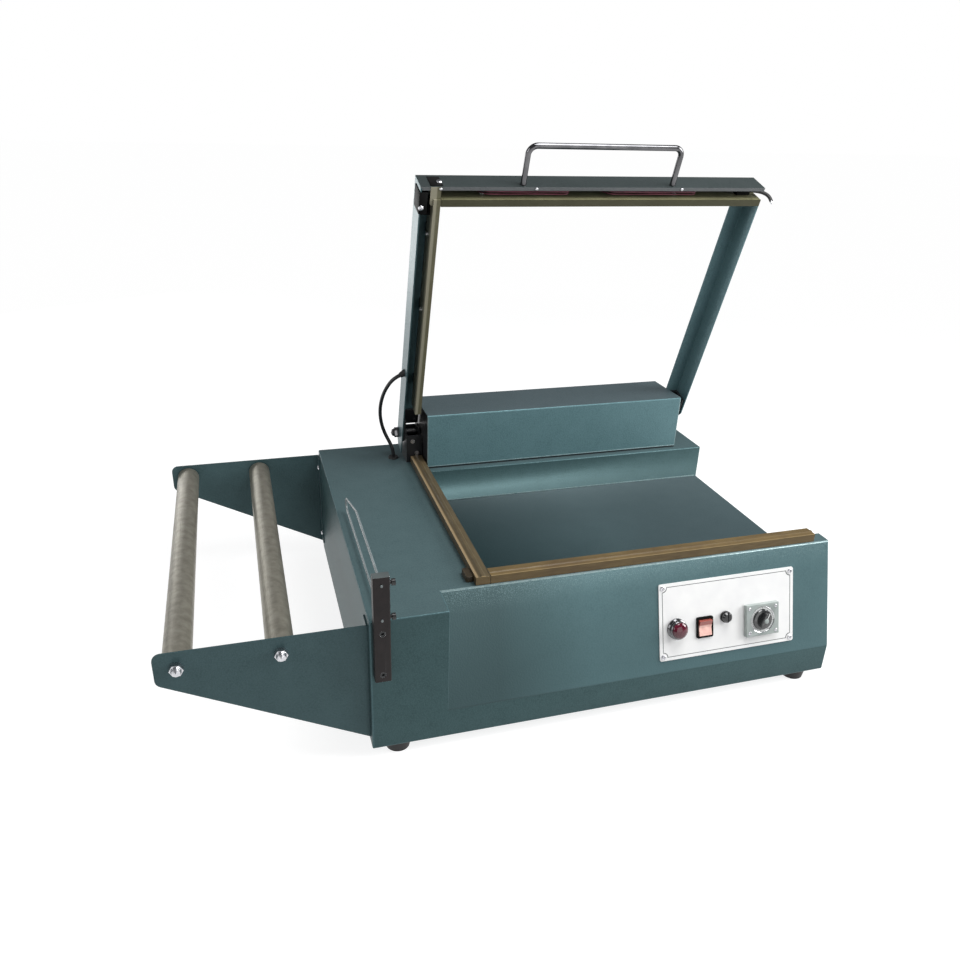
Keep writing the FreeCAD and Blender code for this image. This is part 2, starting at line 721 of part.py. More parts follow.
def cheek(x0, x1, front, tail):
    """Side wall of the arm: tail gives the outline behind the shaft, as s and w."""
    outline = [(front, 0)] + tail + [(front, arm_depth)]
    wall = prism([arm_point(x0, s, w) for s, w in outline], V(x1 - x0, 0, 0))
    return wall.cut(shaft_bore(x0, x1))


def hinge_leg(x0, x1, depth, front):
    """Stiffening plate inside a cheek, rounded about the shaft and bored for it."""
    wall = arm_box(x0, x1, 0, front, 0, depth)
    ear = rod(x0, pivot_y, pivot_z, hinge_plate_ear, x1 - x0, X_AXIS)
    return join([wall, ear]).cut(shaft_bore(x0, x1))


left_web = arm_box(arm_left_x, arm_left_x + arm_web_width, web_start, arm_reach - arm_web_width,
                   0, arm_sheet)
left_cheek = cheek(arm_left_x, arm_left_x + arm_sheet, arm_reach - arm_sheet,
                   [(tail_chamfer - left_tail, 0), (-left_tail, tail_chamfer),
                    (-left_tail, arm_depth)])
arm_left = join([left_web, left_cheek])
right_web = arm_box(arm_right_x - arm_right_width, arm_right_x, web_start,
                    arm_reach - arm_web_width, 0, arm_sheet)
right_cheek = cheek(arm_right_x - arm_sheet, arm_right_x, arm_reach - right_cheek_end,
                    [(-right_tail / 2, 0), (-right_tail, right_tail / 2),
                     (-right_tail, arm_depth / 2), (right_taper, arm_depth)])
arm_right = join([right_web, right_cheek])
front_web = arm_box(arm_left_x + arm_sheet, arm_right_x - arm_sheet, arm_reach - arm_web_width,
                    arm_reach, 0, arm_sheet)
front_wall = arm_box(arm_left_x, arm_right_x, arm_reach - arm_sheet, arm_reach, 0, arm_depth)
front_lip = arm_box(arm_left_x + arm_sheet, arm_right_x, arm_reach - arm_lip, arm_reach,
                    arm_depth - arm_sheet, arm_depth)
arm_front = join([front_web, front_wall, front_lip])

# hinge plates stiffen both cheeks and the ends of the top plates
plate_end = hinge_plate_length
left_leg = hinge_leg(left_inner, left_inner + hinge_plate, arm_depth - 3, plate_end)
left_leg = left_leg.cut(arm_box(left_inner - 1, left_inner + hinge_plate + 1, web_start - 0.5,
                                plate_end + 1, -1, arm_sheet))
left_top_leg = arm_box(left_inner, arm_left_x + arm_web_width - 2, hinge_plate_start,
                       plate_end, arm_sheet, arm_sheet + bracket_sheet)
hinge_plate_left = join([left_leg, left_top_leg])
right_leg = hinge_leg(right_inner - hinge_plate, right_inner, arm_depth - 3, plate_end)
right_leg = right_leg.cut(arm_box(right_inner - hinge_plate - 1, right_inner + 1,
                                  web_start - 0.5, plate_end + 1, -1, arm_sheet))
right_top_leg = arm_box(arm_right_x - arm_right_width + 1, right_inner, hinge_plate_start,
                        plate_end, arm_sheet, arm_sheet + bracket_sheet)
hinge_plate_right = join([right_leg, right_top_leg])

# upper sealing bars: blades on edge under the top plates, with a heating strip let in
upper_bar_bottom = arm_top_z - (tape_top + seal_gap)
blade_depth = upper_bar_bottom - tape_thickness
half_blade = upper_bar_width / 2
front_bar_s = pivot_y - front_bar_y
left_blade_end = front_bar_s + half_blade
front_blade_x0 = left_bar_x + half_blade + 2 * tape_thickness
left_blade = arm_box(left_bar_x - half_blade, left_bar_x + half_blade, left_upper_start,
                     left_blade_end, upper_bar_top, blade_depth)
front_blade = arm_box(front_blade_x0, front_bar_right, front_bar_s - half_blade,
                      front_bar_s + half_blade, upper_bar_top, blade_depth)
left_heater = arm_box(left_bar_x - heater_width / 2, left_bar_x + heater_width / 2,
                      left_upper_start, left_blade_end, blade_depth - heater_thickness,
                      blade_depth)
front_heater = arm_box(front_blade_x0, front_bar_right, front_bar_s - heater_width / 2,
                       front_bar_s + heater_width / 2, blade_depth - heater_thickness,
                       blade_depth)
left_sleeve = arm_box(left_bar_x - half_blade - tape_thickness,
                      left_bar_x + half_blade + tape_thickness, left_upper_start,
                      left_blade_end + tape_thickness, upper_bar_top + 4, upper_bar_bottom)
front_sleeve = arm_box(front_blade_x0, front_bar_right,
                       front_bar_s - half_blade - tape_thickness,
                       front_bar_s + half_blade + tape_thickness, upper_bar_top + 4,
                       upper_bar_bottom)
left_sleeve = left_sleeve.cut(left_blade)
front_sleeve = front_sleeve.cut(front_blade)

# spacers carry the blades from the top plates, screws hold them sideways
spacer_length = 16.0
spacer_web = arm_sheet
left_spacer_places = (110.0, 249.0, front_bar_s - 52.7)
front_spacer_places = (left_bar_x + 66.0, left_bar_x + 212.0, front_bar_right - 136.0,
                       front_bar_right - 28.0)
spacers = []
for s in left_spacer_places:
    spacers.append(arm_box(left_bar_x - half_blade, left_bar_x + half_blade,
                           s - spacer_length / 2, s + spacer_length / 2, spacer_web,
                           upper_bar_top))
for x in front_spacer_places:
    spacers.append(arm_box(x - spacer_length / 2, x + spacer_length / 2,
                           front_bar_s - half_blade, front_bar_s + half_blade, spacer_web,
                           upper_bar_top))
left_blade = join([left_blade] + spacers[:len(left_spacer_places)])
front_blade = join([front_blade] + spacers[len(left_spacer_places):])
jaw_screw_depth = 20.0
jaw_screw_radius = 2.0
jaw_screw_length = 6.0
jaw_screws = []
jaw_holes = []
for s in left_spacer_places[1:]:
    seat = arm_point(left_bar_x - half_blade - tape_thickness, s, jaw_screw_depth)
    jaw_screws.append(pan_screw(seat, V(-1, 0, 0), 3.5, 2.6, jaw_screw_radius, jaw_screw_length))
    jaw_holes.append(shank_hole(seat, V(-1, 0, 0), jaw_screw_radius, jaw_screw_length + 1))
for x in (front_spacer_places[0], front_spacer_places[2]):
    seat = arm_point(x, front_bar_s + half_blade + tape_thickness, jaw_screw_depth)
    jaw_screws.append(pan_screw(seat, V(0, -1, 0), 3.5, 2.6, jaw_screw_radius, jaw_screw_length))
    jaw_holes.append(shank_hole(seat, V(0, -1, 0), jaw_screw_radius, jaw_screw_length + 1))
hinge_bolt_seat = arm_point(left_bar_x + 4.0, hinge_plate_start + 4.5,
                            arm_sheet + bracket_sheet)
jaw_screws.append(pan_screw(hinge_bolt_seat, V(0, 0, -1), 3.6, 2.6, jaw_screw_radius,
                            arm_sheet + bracket_sheet))
hinge_bolt_hole = shank_hole(hinge_bolt_seat, V(0, 0, -1), jaw_screw_radius,
                             arm_sheet + bracket_sheet)
hinge_plate_left = hinge_plate_left.cut(hinge_bolt_hole)
arm_left = arm_left.cut(hinge_bolt_hole)
left_blade = cut_all(left_blade, [left_heater] + jaw_holes)
front_blade = cut_all(front_blade, [front_heater] + jaw_holes)
upper_tapes = [swung(cut_all(left_sleeve, jaw_holes)), swung(cut_all(front_sleeve, jaw_holes))]
keep("upper_jaw_left", swung(left_blade))
keep("upper_jaw_front", swung(front_blade))
keep("heating_wires", Part.makeCompound([swung(left_heater), swung(front_heater)]))
keep("upper_jaw_tapes", Part.makeCompound(upper_tapes))
keep("jaw_screws", Part.makeCompound([swung(screw) for screw in jaw_screws]))

# handle: bent rod whose shoulders rest on the front wall, with threaded ends and nuts behind
handle_nut = 4.0
handle_thread = 3.0
handle_tail = arm_sheet + handle_nut + 1.5
handle_right_x = handle_left_x + handle_span
handle_points = [arm_point(handle_left_x, arm_reach, handle_depth),
                 arm_point(handle_left_x, arm_reach + handle_reach, handle_depth),
                 arm_point(handle_right_x, arm_reach + handle_reach, handle_depth),
                 arm_point(handle_right_x, arm_reach, handle_depth)]
handle_path = bent_path(handle_points, [handle_bend, handle_bend])
handle_rods = [tube_along(handle_path, handle_rod, handle_points[0], V(0, -1, 0))]
handle_nuts = []
for x in (handle_left_x, handle_right_x):
    shoulder = arm_point(x, arm_reach, handle_depth)
    handle_rods.append(Part.makeCylinder(handle_thread, handle_tail, shoulder, Y_AXIS))
    arm_front = arm_front.cut(Part.makeCylinder(handle_thread + hole_play, arm_sheet + 1,
                                                shoulder, Y_AXIS))
    seat = arm_point(x, arm_reach - arm_sheet, handle_depth)
    nut = hexagon(seat, Y_AXIS, handle_nut_flats, handle_nut)
    bore = Part.makeCylinder(handle_thread + hole_play, handle_nut, seat, Y_AXIS)
    handle_nuts.append(swung(nut.cut(bore)))
handle = join(handle_rods)
keep("handle", swung(handle))
keep("handle_nuts", Part.makeCompound(handle_nuts))

# leads tied to the front sealing bar, and the terminals of the heating strips
lead_radius = 1.2
lead_depth = upper_bar_top + 6.0
lead_x0 = handle_left_x - 75
lead_x1 = handle_right_x + 25
lead_s = front_bar_s + half_blade + tape_thickness + lead_radius + running_fit
leads = []
for w in (lead_depth, lead_depth + 2 * lead_radius + fit_gap):
    start = arm_point(lead_x0, lead_s, w)
    leads.append(swung(Part.makeCylinder(lead_radius, lead_x1 - lead_x0, start, X_AXIS)))
keep("heater_leads", Part.makeCompound(leads))

terminal_depth = 24.0
terminal_length = 22.0
terminal_height = 10.0
terminal_wall = 4.0
terminal_s1 = front_bar_s - 1.7
terminal_s0 = terminal_s1 - terminal_length
corner_terminal = arm_box(left_inner, left_bar_x - half_blade - tape_thickness, terminal_s0,
                          terminal_s1, terminal_depth - terminal_height, terminal_depth)
corner_terminal = corner_terminal.cut(
    arm_box(left_inner + terminal_wall, left_bar_x - half_blade - terminal_wall,
            terminal_s0 + terminal_wall, terminal_s1 - terminal_wall,
            terminal_depth - terminal_height / 2, terminal_depth + 1))
end_terminal_x1 = front_bar_right - 12
end_terminal = arm_box(end_terminal_x1 - terminal_length, end_terminal_x1,
                       front_bar_s + half_blade + tape_thickness, arm_reach - arm_sheet,
                       terminal_depth - terminal_height, terminal_depth)
keep("wire_terminals", Part.makeCompound([swung(corner_terminal), swung(end_terminal)]))

# leaning rubber boot of the lead in the arm's left cheek
boot_root_radius = 6.5
boot_neck_radius = 4.5
boot_neck_length = arm_sheet + 1.0
boot_root = arm_point(arm_left_x, cable_arm_s, cable_arm_w)
boot_axis = FreeCAD.Rotation(Z_AXIS, -boot_lean).multVec(V(-1, 0, 0))
boot_tip = boot_root + boot_axis * boot_length
arm_left = arm_left.cut(Part.makeCylinder(boot_neck_radius + hole_play, arm_sheet + 2,
                                          boot_root - X_AXIS, X_AXIS))
boot_sink = boot_root_radius * math.tan(math.radians(boot_lean))
boot = Part.makeCone(boot_root_radius, cable_radius + 1.0, boot_length + boot_sink,
                     boot_root - boot_axis * boot_sink, boot_axis)
boot = boot.common(arm_box(0, arm_left_x, 0, arm_reach, 0, arm_depth))
neck = Part.makeCylinder(boot_neck_radius, boot_neck_length, boot_root, X_AXIS)
keep("arm_boot", swung(join([boot, neck])))

# shaft through brackets, housing, springs and both cheeks, closed by cap nuts
nut_flats = 15.0
shaft_x0 = arm_left_x - 6
shaft_x1 = arm_right_x + 6
keep("hinge_shaft", rod(shaft_x0, pivot_y, pivot_z, shaft_radius, shaft_x1 - shaft_x0, X_AXIS))
nuts = [dome_nut(V(arm_left_x, pivot_y, pivot_z), V(-1, 0, 0), nut_flats,
                 shaft_radius + hole_play, 6.5),
        dome_nut(V(arm_right_x, pivot_y, pivot_z), X_AXIS, nut_flats,
                 shaft_radius + hole_play, 6.5)]
keep("hinge_shaft_nuts", Part.makeCompound([swung(nut) for nut in nuts]))
keep("arm_left", swung(arm_left))
keep("arm_right", swung(arm_right))
keep("arm_front", swung(arm_front))
keep("arm_hinge_plate_left", swung(hinge_plate_left))
keep("arm_hinge_plate_right", swung(hinge_plate_right))

# ---- lead from the cabinet to the arm -------------------------------------------------------
grommet_radius = 8.8
grommet_top = 3.0
cabinet = cabinet.cut(rod(cable_x, cable_y, cabinet_height - sheet - 1,
                          grommet_radius - 2 + hole_play, sheet + 2, Z_AXIS))
grommet_neck = grommet_radius - 2
grommet = turned([(0, -sheet - 2), (grommet_neck, -sheet - 2), (grommet_neck, 0),
                  (grommet_radius, 0), (grommet_radius - 1, grommet_top), (0, grommet_top)],
                 V(cable_x, cable_y, cabinet_height), Z_AXIS)
keep("cable_grommet", grommet)
cable_start = V(cable_x, cable_y, cabinet_height + grommet_top)
cable_end = swing_point(boot_tip)
cable_last_run = 9.0
cable_points = [cable_start,
                cable_start + Z_AXIS * cable_last_run,
                V(116.5, 476.5, 217.0),
                V(109.5, 480.0, 231.0),
                V(103.5, 480.5, 247.0),
                V(99.5, 477.0, 266.0),
                V(98.0, 468.0, 286.0),
                V(98.5, 455.0, 305.0),
                V(101.0, 442.0, 323.0),
                V(107.7, 432.4, 339.8),
                swing_point(boot_tip + boot_axis * cable_last_run),
                cable_end]
cable_bends = cord_radii(cable_points)
cable_path = bent_path(cable_points, cable_bends)
cable = tube_along(cable_path, cable_radius, cable_points[0],
                   cable_points[1] - cable_points[0])
keep("arm_cable", cable)
print("cable bend radii", [round(r, 1) for r in cable_bends])
runs = [(b - a).Length for a, b in zip(cable_points, cable_points[1:])]
print("cable runs", [round(run, 1) for run in runs])
print("cable end", [round(v, 2) for v in cable_points[-2]], [round(v, 2) for v in cable_end])
print("cable length", round(cable_path.Length, 1), "volume ratio",
      round(cable.Volume / (math.pi * cable_radius ** 2 * cable_path.Length), 4))

# ---- film roll stand ----------------------------------------------------------------------
stand_far_y = cabinet_depth + stand_far_gap


def stand_plate(y0):
    outline = [(0, y0, stand_top), (stand_end_x, y0, stand_top),
               (stand_end_x, y0, stand_end_bottom), (0, y0, stand_root_bottom)]
    plate_shape = prism(outline, V(0, stand_sheet, 0))
    corners = [edge for edge in plate_shape.Edges
               if abs(edge.BoundBox.XMax - stand_end_x) < 0.01
               and abs(edge.Length - stand_sheet) < 0.01]
    return plate_shape.makeFillet(stand_corner, corners)


def axle_holes(y0):
    return [rod(x, y0 - 1, roller_z, axle_radius + hole_play, stand_sheet + 2, Y_AXIS)
            for x in (roller_outer_x, roller_inner_x)]


near = stand_plate(stand_near_y)
near_flange = box(-stand_sheet, 0, stand_near_y, stand_near_y + stand_flange,
                  stand_root_bottom + 6, stand_top)
far = stand_plate(stand_far_y)
far_flange = box(-stand_sheet, 0, stand_far_y + stand_sheet - stand_flange,
                 stand_far_y + stand_sheet, stand_root_bottom + 6, stand_top)
near = join([near, near_flange])
far = join([far, far_flange])
stand_screw_radius = 2.5
stand_screws = []
for y in (stand_near_y + 14, stand_far_y + stand_sheet - 14):
    for z in (stand_root_bottom + 24, stand_top - 18):
        seat = V(-stand_sheet, y, z)
        length = stand_sheet + sheet + 4
        stand_screws.append(pan_screw(seat, V(-1, 0, 0), 4.5, 3.0, stand_screw_radius, length))
        hole = shank_hole(seat, V(-1, 0, 0), stand_screw_radius, length)
        near = near.cut(hole)
        far = far.cut(hole)
        cabinet = cabinet.cut(hole)
keep("roll_bracket_screws", Part.makeCompound(stand_screws))
keep("roll_bracket_near", cut_all(near, axle_holes(stand_near_y)))
keep("roll_bracket_far", cut_all(far, axle_holes(stand_far_y)))

roller_y0 = stand_near_y + stand_sheet + roller_side_gap
roller_y1 = stand_far_y - roller_side_gap
axle_tail = 5.0
axles = []
axle_nuts = []
for name, x in (("roller_outer", roller_outer_x), ("roller_inner", roller_inner_x)):
    bore_radius = axle_radius + running_fit
    inner = roller_radius - roller_wall
    length = roller_y1 - roller_y0
    tube = turned([(bore_radius, 0), (roller_radius, 0), (roller_radius, length),
                   (bore_radius, length), (bore_radius, length - roller_cap),
                   (inner, length - roller_cap), (inner, roller_cap), (bore_radius, roller_cap)],
                  V(x, roller_y0, roller_z), Y_AXIS)
    keep(name, tube)
    near_face = stand_near_y
    far_face = stand_far_y + stand_sheet
    axles.append(rod(x, near_face - axle_tail, roller_z, axle_radius,
                     far_face - near_face + 2 * axle_tail, Y_AXIS))
    axle_nuts.append(dome_nut(V(x, near_face, roller_z), V(0, -1, 0), axle_nut_flats,
                              axle_radius + hole_play, axle_tail + 0.5))
    axle_nuts.append(dome_nut(V(x, far_face, roller_z), Y_AXIS, axle_nut_flats,
                              axle_radius + hole_play, axle_tail + 0.5))
keep("roller_axles", Part.makeCompound(axles))
keep("roller_axle_nuts", Part.makeCompound(axle_nuts))

# ---- film guide -----------------------------------------------------------------------------
guide_x = guide_block_x0 + guide_block_width / 2
block = box(guide_block_x0, guide_block_x0 + guide_block_width, -guide_block_depth, 0,
            guide_block_z0, guide_block_z1)
upright_edges = [edge for edge in block.Edges
                 if edge.Length > 0.9 * (guide_block_z1 - guide_block_z0)
                 and edge.BoundBox.YMax < -1]
block = block.makeFillet(1.5, upright_edges)
rod_holes = [rod(guide_x, -guide_block_depth - 1, z, guide_rod + running_fit,
                 guide_block_depth + 2, Y_AXIS) for z in (guide_upper_z, guide_lower_z)]
guide_screws = []
guide_screw_radius = 2.0
guide_screw_head = 3.8
socket_depth = 4.5
for z in guide_screw_z:
    seat = V(guide_x, -guide_block_depth + socket_depth, z)
    length = guide_block_depth - socket_depth + sheet + 5
    screw = turned([(0, -length), (guide_screw_radius, -length), (guide_screw_radius, 0),
                    (guide_screw_head, 0), (guide_screw_head, socket_depth - 0.5),
                    (0, socket_depth - 0.5)], seat, V(0, -1, 0))
    screw = screw.cut(hexagon(seat - Y_AXIS * 2.0, V(0, -1, 0), 3.5, 4.0))
    guide_screws.append(screw)
    block = block.cut(shank_hole(seat, V(0, -1, 0), guide_screw_radius, length))
    block = block.cut(rod(guide_x, -guide_block_depth - 1, z, guide_screw_head + hole_play,
                          socket_depth + 1, Y_AXIS))
    cabinet = cabinet.cut(shank_hole(seat, V(0, -1, 0), guide_screw_radius, length))
keep("guide_block_screws", Part.makeCompound(guide_screws))

thumb_shank = 2.0
thumb_head = 7.0
thumb_tip_gap = 0.3
block_right = guide_block_x0 + guide_block_width
thumb_length = guide_block_width / 2 - guide_rod - thumb_tip_gap
thumb_neck = 2.5
for name, z in (("thumb_screw_upper", guide_upper_z), ("thumb_screw_lower", guide_lower_z)):
    base = V(block_right, -guide_block_depth / 2, z)
    tapped = Part.makeCylinder(thumb_shank + running_fit, thumb_length + thumb_tip_gap,
                               base - X_AXIS * (thumb_length + thumb_tip_gap), X_AXIS)
    block = block.cut(tapped)
    screw = turned([(0, -thumb_length), (thumb_shank, -thumb_length), (thumb_shank, fit_gap),
                    (thumb_radius - 1.8, fit_gap), (thumb_radius - 1.8, thumb_neck),
                    (thumb_radius, thumb_neck), (thumb_radius, thumb_head),
                    (0, thumb_head)], base, X_AXIS)
    keep(name, screw)
keep("guide_block", cut_all(block, rod_holes))

guide_tail = 1.5
guide_front_y = -guide_block_depth - guide_tail
guide_points = [V(guide_x, guide_front_y, guide_upper_z),
                V(guide_x, guide_slope_y, guide_upper_z),
                V(guide_x, guide_end_y, guide_lower_z + guide_nose),
                V(guide_x, guide_end_y, guide_lower_z),
                V(guide_x, guide_front_y, guide_lower_z)]
guide_path = bent_path(guide_points, [guide_bend, guide_bend, guide_bend])
keep("guide_loop", tube_along(guide_path, guide_rod, guide_points[0], Y_AXIS))

# ---- inside the cabinet ---------------------------------------------------------------------
coil_x = 330.0
coil_y = 210.0
core_width = 96.0
core_depth = 62.0
core_height = 80.0
leg = 16.0
core = box(coil_x, coil_x + core_width, coil_y, coil_y + core_depth, base_sheet,
           base_sheet + core_height)
window = (core_width - 4 * leg) / 2
for x in (coil_x + leg, coil_x + core_width - leg - window):
    core = core.cut(box(x, x + window, coil_y - 1, coil_y + core_depth + 1, base_sheet + leg,
                        base_sheet + core_height - leg))
keep("transformer_core", core)
winding = box(coil_x + leg, coil_x + core_width - leg, coil_y - window,
              coil_y + core_depth + window, base_sheet + leg, base_sheet + core_height - leg)
winding = winding.makeFillet(6.0, [edge for edge in winding.Edges
                                   if abs(edge.Length - core_height + 2 * leg) < 0.01])
winding = winding.cut(box(coil_x + leg + window, coil_x + core_width - leg - window, coil_y,
                          coil_y + core_depth, base_sheet, base_sheet + core_height))
keep("transformer_coil", winding)

keep("cabinet_shell", cabinet)
keep("base_plate", base_plate)

# ---- move to the footprint's centre at floor level and write ---------------------------------
bounds = Part.makeCompound(list(parts.values())).BoundBox
shift = V(-bounds.Center.x, -bounds.Center.y, foot_height)
print("shift", [round(v, 4) for v in shift])
os.makedirs("parts", exist_ok=True)
for name, shape in parts.items():
    shape.translate(shift)
    shape.exportStep("parts/" + name + ".step")
print(len(parts), "nodes written")


def tell(name, point):
    moved = point + shift
    print(name, [round(v, 3) for v in moved])


tell("arm hinge", V(0, pivot_y, pivot_z))
tell("rocker pivot", panel_point(rocker_x, rocker_t, rocker_pivot_out))
tell("fuse axis", panel_point(fuse_x, fuse_t, plate_thickness))
tell("timer axis", panel_point(timer_x, timer_t, plate_thickness))
tell("roller outer", V(roller_outer_x, 0, roller_z))
tell("roller inner", V(roller_inner_x, 0, roller_z))
tell("thumb upper", V(block_right, -guide_block_depth / 2, guide_upper_z))
tell("thumb lower", V(block_right, -guide_block_depth / 2, guide_lower_z))
tell("cable end", cable_end)
print("panel normal", [round(v, 5) for v in panel_normal])
for name, shape in parts.items():
    if not shape.isValid():
        print("invalid", name)
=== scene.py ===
import json
import math
import bmesh
import bpy
from mathutils import Matrix, Vector


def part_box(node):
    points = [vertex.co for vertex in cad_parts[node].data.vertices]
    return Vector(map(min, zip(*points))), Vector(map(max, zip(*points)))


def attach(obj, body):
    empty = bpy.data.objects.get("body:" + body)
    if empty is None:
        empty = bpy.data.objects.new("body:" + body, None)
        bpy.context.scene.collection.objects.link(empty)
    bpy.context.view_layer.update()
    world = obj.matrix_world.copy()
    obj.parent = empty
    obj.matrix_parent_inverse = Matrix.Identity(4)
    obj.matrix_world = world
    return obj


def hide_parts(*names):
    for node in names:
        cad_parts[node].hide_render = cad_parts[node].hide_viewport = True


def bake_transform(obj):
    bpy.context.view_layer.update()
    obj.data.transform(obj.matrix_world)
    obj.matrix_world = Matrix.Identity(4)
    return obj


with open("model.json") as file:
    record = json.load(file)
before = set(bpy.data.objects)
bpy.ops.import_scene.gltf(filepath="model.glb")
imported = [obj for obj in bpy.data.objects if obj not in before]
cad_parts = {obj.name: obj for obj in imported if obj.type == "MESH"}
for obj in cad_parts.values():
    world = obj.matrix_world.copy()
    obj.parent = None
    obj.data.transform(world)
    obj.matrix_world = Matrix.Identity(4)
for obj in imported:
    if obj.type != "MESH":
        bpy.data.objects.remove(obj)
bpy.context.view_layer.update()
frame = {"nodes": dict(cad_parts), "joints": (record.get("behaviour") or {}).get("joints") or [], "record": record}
joints = {joint["name"]: joint for joint in frame["joints"]}
panelNormal = Vector(joints["timer_turn"]["axis"]).normalized()
panelUp = Vector((0, panelNormal.z, -panelNormal.y))
print("frame loaded")


def objectFrom(name, mesh, body, smoothAngle=35):
    mesh.polygons.foreach_set("use_smooth", [True] * len(mesh.polygons))
    mesh.set_sharp_from_angle(angle=math.radians(smoothAngle))
    piece = bpy.data.objects.new(name, mesh)
    bpy.context.scene.collection.objects.link(piece)
    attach(piece, body)
    return piece


def bakeModifiers(piece):
    # the finished mesh takes the place of the one with modifiers on it
    bpy.context.view_layer.update()
    depsgraph = bpy.context.evaluated_depsgraph_get()
    finished = bpy.data.meshes.new_from_object(piece.evaluated_get(depsgraph))
    piece.modifiers.clear()
    piece.data = finished


def markFolds(mesh, length=0.03, area=0.0015, angle=12):
    # bevel weight on the long edges between two wide faces
    build = bmesh.new()
    build.from_mesh(mesh)
    weight = build.edges.layers.float.new("bevel_weight_edge")
    for edge in build.edges:
        folded = (edge.calc_length() > length and edge.is_convex
                  and edge.calc_face_angle(0) > math.radians(angle)
                  and all(face.calc_area() > area for face in edge.link_faces))
        edge[weight] = 1.0 if folded else 0.0
    build.to_mesh(mesh)
    build.free()


def addBevel(piece, width, segments=2, angle=30, finishSlot=-1, longest=False):
    bevel = piece.modifiers.new("edges", "BEVEL")
    bevel.width = width
    bevel.segments = segments
    bevel.limit_method = "ANGLE"
    bevel.angle_limit = math.radians(angle)
    if longest:
        markFolds(piece.data)
        bevel.limit_method = "WEIGHT"
        bevel.use_clamp_overlap = False
    bevel.harden_normals = True
    bevel.material = finishSlot


def latheMesh(name, profile, steps=48, closed=False):
    # profile: (radius, height) pairs; closed joins the last to the first, for a ring
    build = bmesh.new()
    rings = []
    for radius, height in profile:
        if radius < 1e-7:
            rings.append([build.verts.new((0, 0, height))])
            continue
        ring = []
        for step in range(steps):
            turn = 2 * math.pi * step / steps
            ring.append(build.verts.new((radius * math.cos(turn), radius * math.sin(turn), height)))
        rings.append(ring)
    for lower, upper in zip(rings, rings[1:] + (rings[:1] if closed else [])):
        for step in range(steps):
            after = (step + 1) % steps
            if len(lower) == 1:
                build.faces.new((lower[0], upper[step], upper[after]))
            elif len(upper) == 1:
                build.faces.new((lower[step], lower[after], upper[0]))
            else:
                build.faces.new((lower[step], lower[after], upper[after], upper[step]))
    bmesh.ops.recalc_face_normals(build, faces=build.faces)
    mesh = bpy.data.meshes.new(name)
    build.to_mesh(mesh)
    build.free()
    return mesh


def prismMesh(name, outline, height, bevel=0.0, segments=2):
    # outline: (x, y) corners, standing from z = 0 to height
    build = bmesh.new()
    low, high = [[build.verts.new((x, y, z)) for x, y in outline] for z in (0, height)]
    build.faces.new(low)
    build.faces.new(high)
    for i in range(len(outline)):
        after = (i + 1) % len(outline)
        build.faces.new((low[i], low[after], high[after], high[i]))
    bmesh.ops.recalc_face_normals(build, faces=build.faces)
    if bevel:
        edges = [edge for edge in build.edges if edge.calc_face_angle(0) > 0.4]
        bmesh.ops.bevel(build, geom=edges, offset=bevel, segments=segments, affect="EDGES",
                        profile=0.5)
    mesh = bpy.data.meshes.new(name)
    build.to_mesh(mesh)
    build.free()
    return mesh


def roundedOutline(width, height, radius, steps=6):
    outline = []
    for cornerX, cornerY, start in ((1, -1, -90), (1, 1, 0), (-1, 1, 90), (-1, -1, 180)):
        centreX = cornerX * (width / 2 - radius)
        centreY = cornerY * (height / 2 - radius)
        for step in range(steps + 1):
            turn = math.radians(start + 90 * step / steps)
            outline.append((centreX + radius * math.cos(turn), centreY + radius * math.sin(turn)))
    return outline


def rectangle(left, right, low, high):
    return [(left, low), (right, low), (right, high), (left, high)]


def gathered(name, meshes, places):
    # one mesh from copies of the given meshes at every place
    build = bmesh.new()
    for place in places:
        for mesh in meshes:
            known = len(build.verts)
            build.from_mesh(mesh)
            build.verts.ensure_lookup_table()
            bmesh.ops.transform(build, matrix=place, verts=build.verts[known:])
    mesh = bpy.data.meshes.new(name)
    build.to_mesh(mesh)
    build.free()
    return mesh


def facing(point, axis, turn=0.0):
    # matrix that stands something drawn along +Z on point, along axis
    spin = Matrix.Rotation(math.radians(turn), 4, "Z")
    tilt = Vector(axis).to_track_quat("Z", "Y").to_matrix().to_4x4()
    return Matrix.Translation(point) @ tilt @ spin


def middle(node):
    low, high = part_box(node)
    return (Vector(low) + Vector(high)) / 2


def axesMatrix(*axes):
    # turns x, y and z to the given axes
    return Matrix(axes).transposed().to_4x4()


plateThickness = 0.0015


def onPanel(point):
    # foot of a point on the outer face of the control plate
    face = middle("control_plate") + panelNormal * plateThickness / 2
    return point - panelNormal * (point - face).dot(panelNormal)


def panelMatrix(point):
    # x across the plate, y up it, z out of it
    return Matrix.Translation(point) @ axesMatrix((1, 0, 0), panelUp, panelNormal)


def smoothCurve(name, points, steps=8):
    # curve that runs smoothly from the first point to the last, pulled towards the others
    curve = bpy.data.curves.new(name, "CURVE")
    curve.dimensions = "3D"
    curve.resolution_u = steps
    spline = curve.splines.new("NURBS")
    spline.points.add(len(points) - 1)
    for place, point in zip(spline.points, points):
        place.co = (*point, 1)
    spline.order_u = 3
    spline.use_endpoint_u = True
    holder = bpy.data.objects.new(name, curve)
    bpy.context.scene.collection.objects.link(holder)
    bpy.context.view_layer.update()
    return holder


def thickened(holder, radius, roundness=2):
    # closed tube along a curve, which is used up
    holder.data.bevel_depth = radius
    holder.data.bevel_resolution = roundness
    holder.data.use_fill_caps = True
    bpy.context.view_layer.update()
    depsgraph = bpy.context.evaluated_depsgraph_get()
    mesh = bpy.data.meshes.new_from_object(holder.evaluated_get(depsgraph))
    bpy.data.objects.remove(holder)
    return mesh


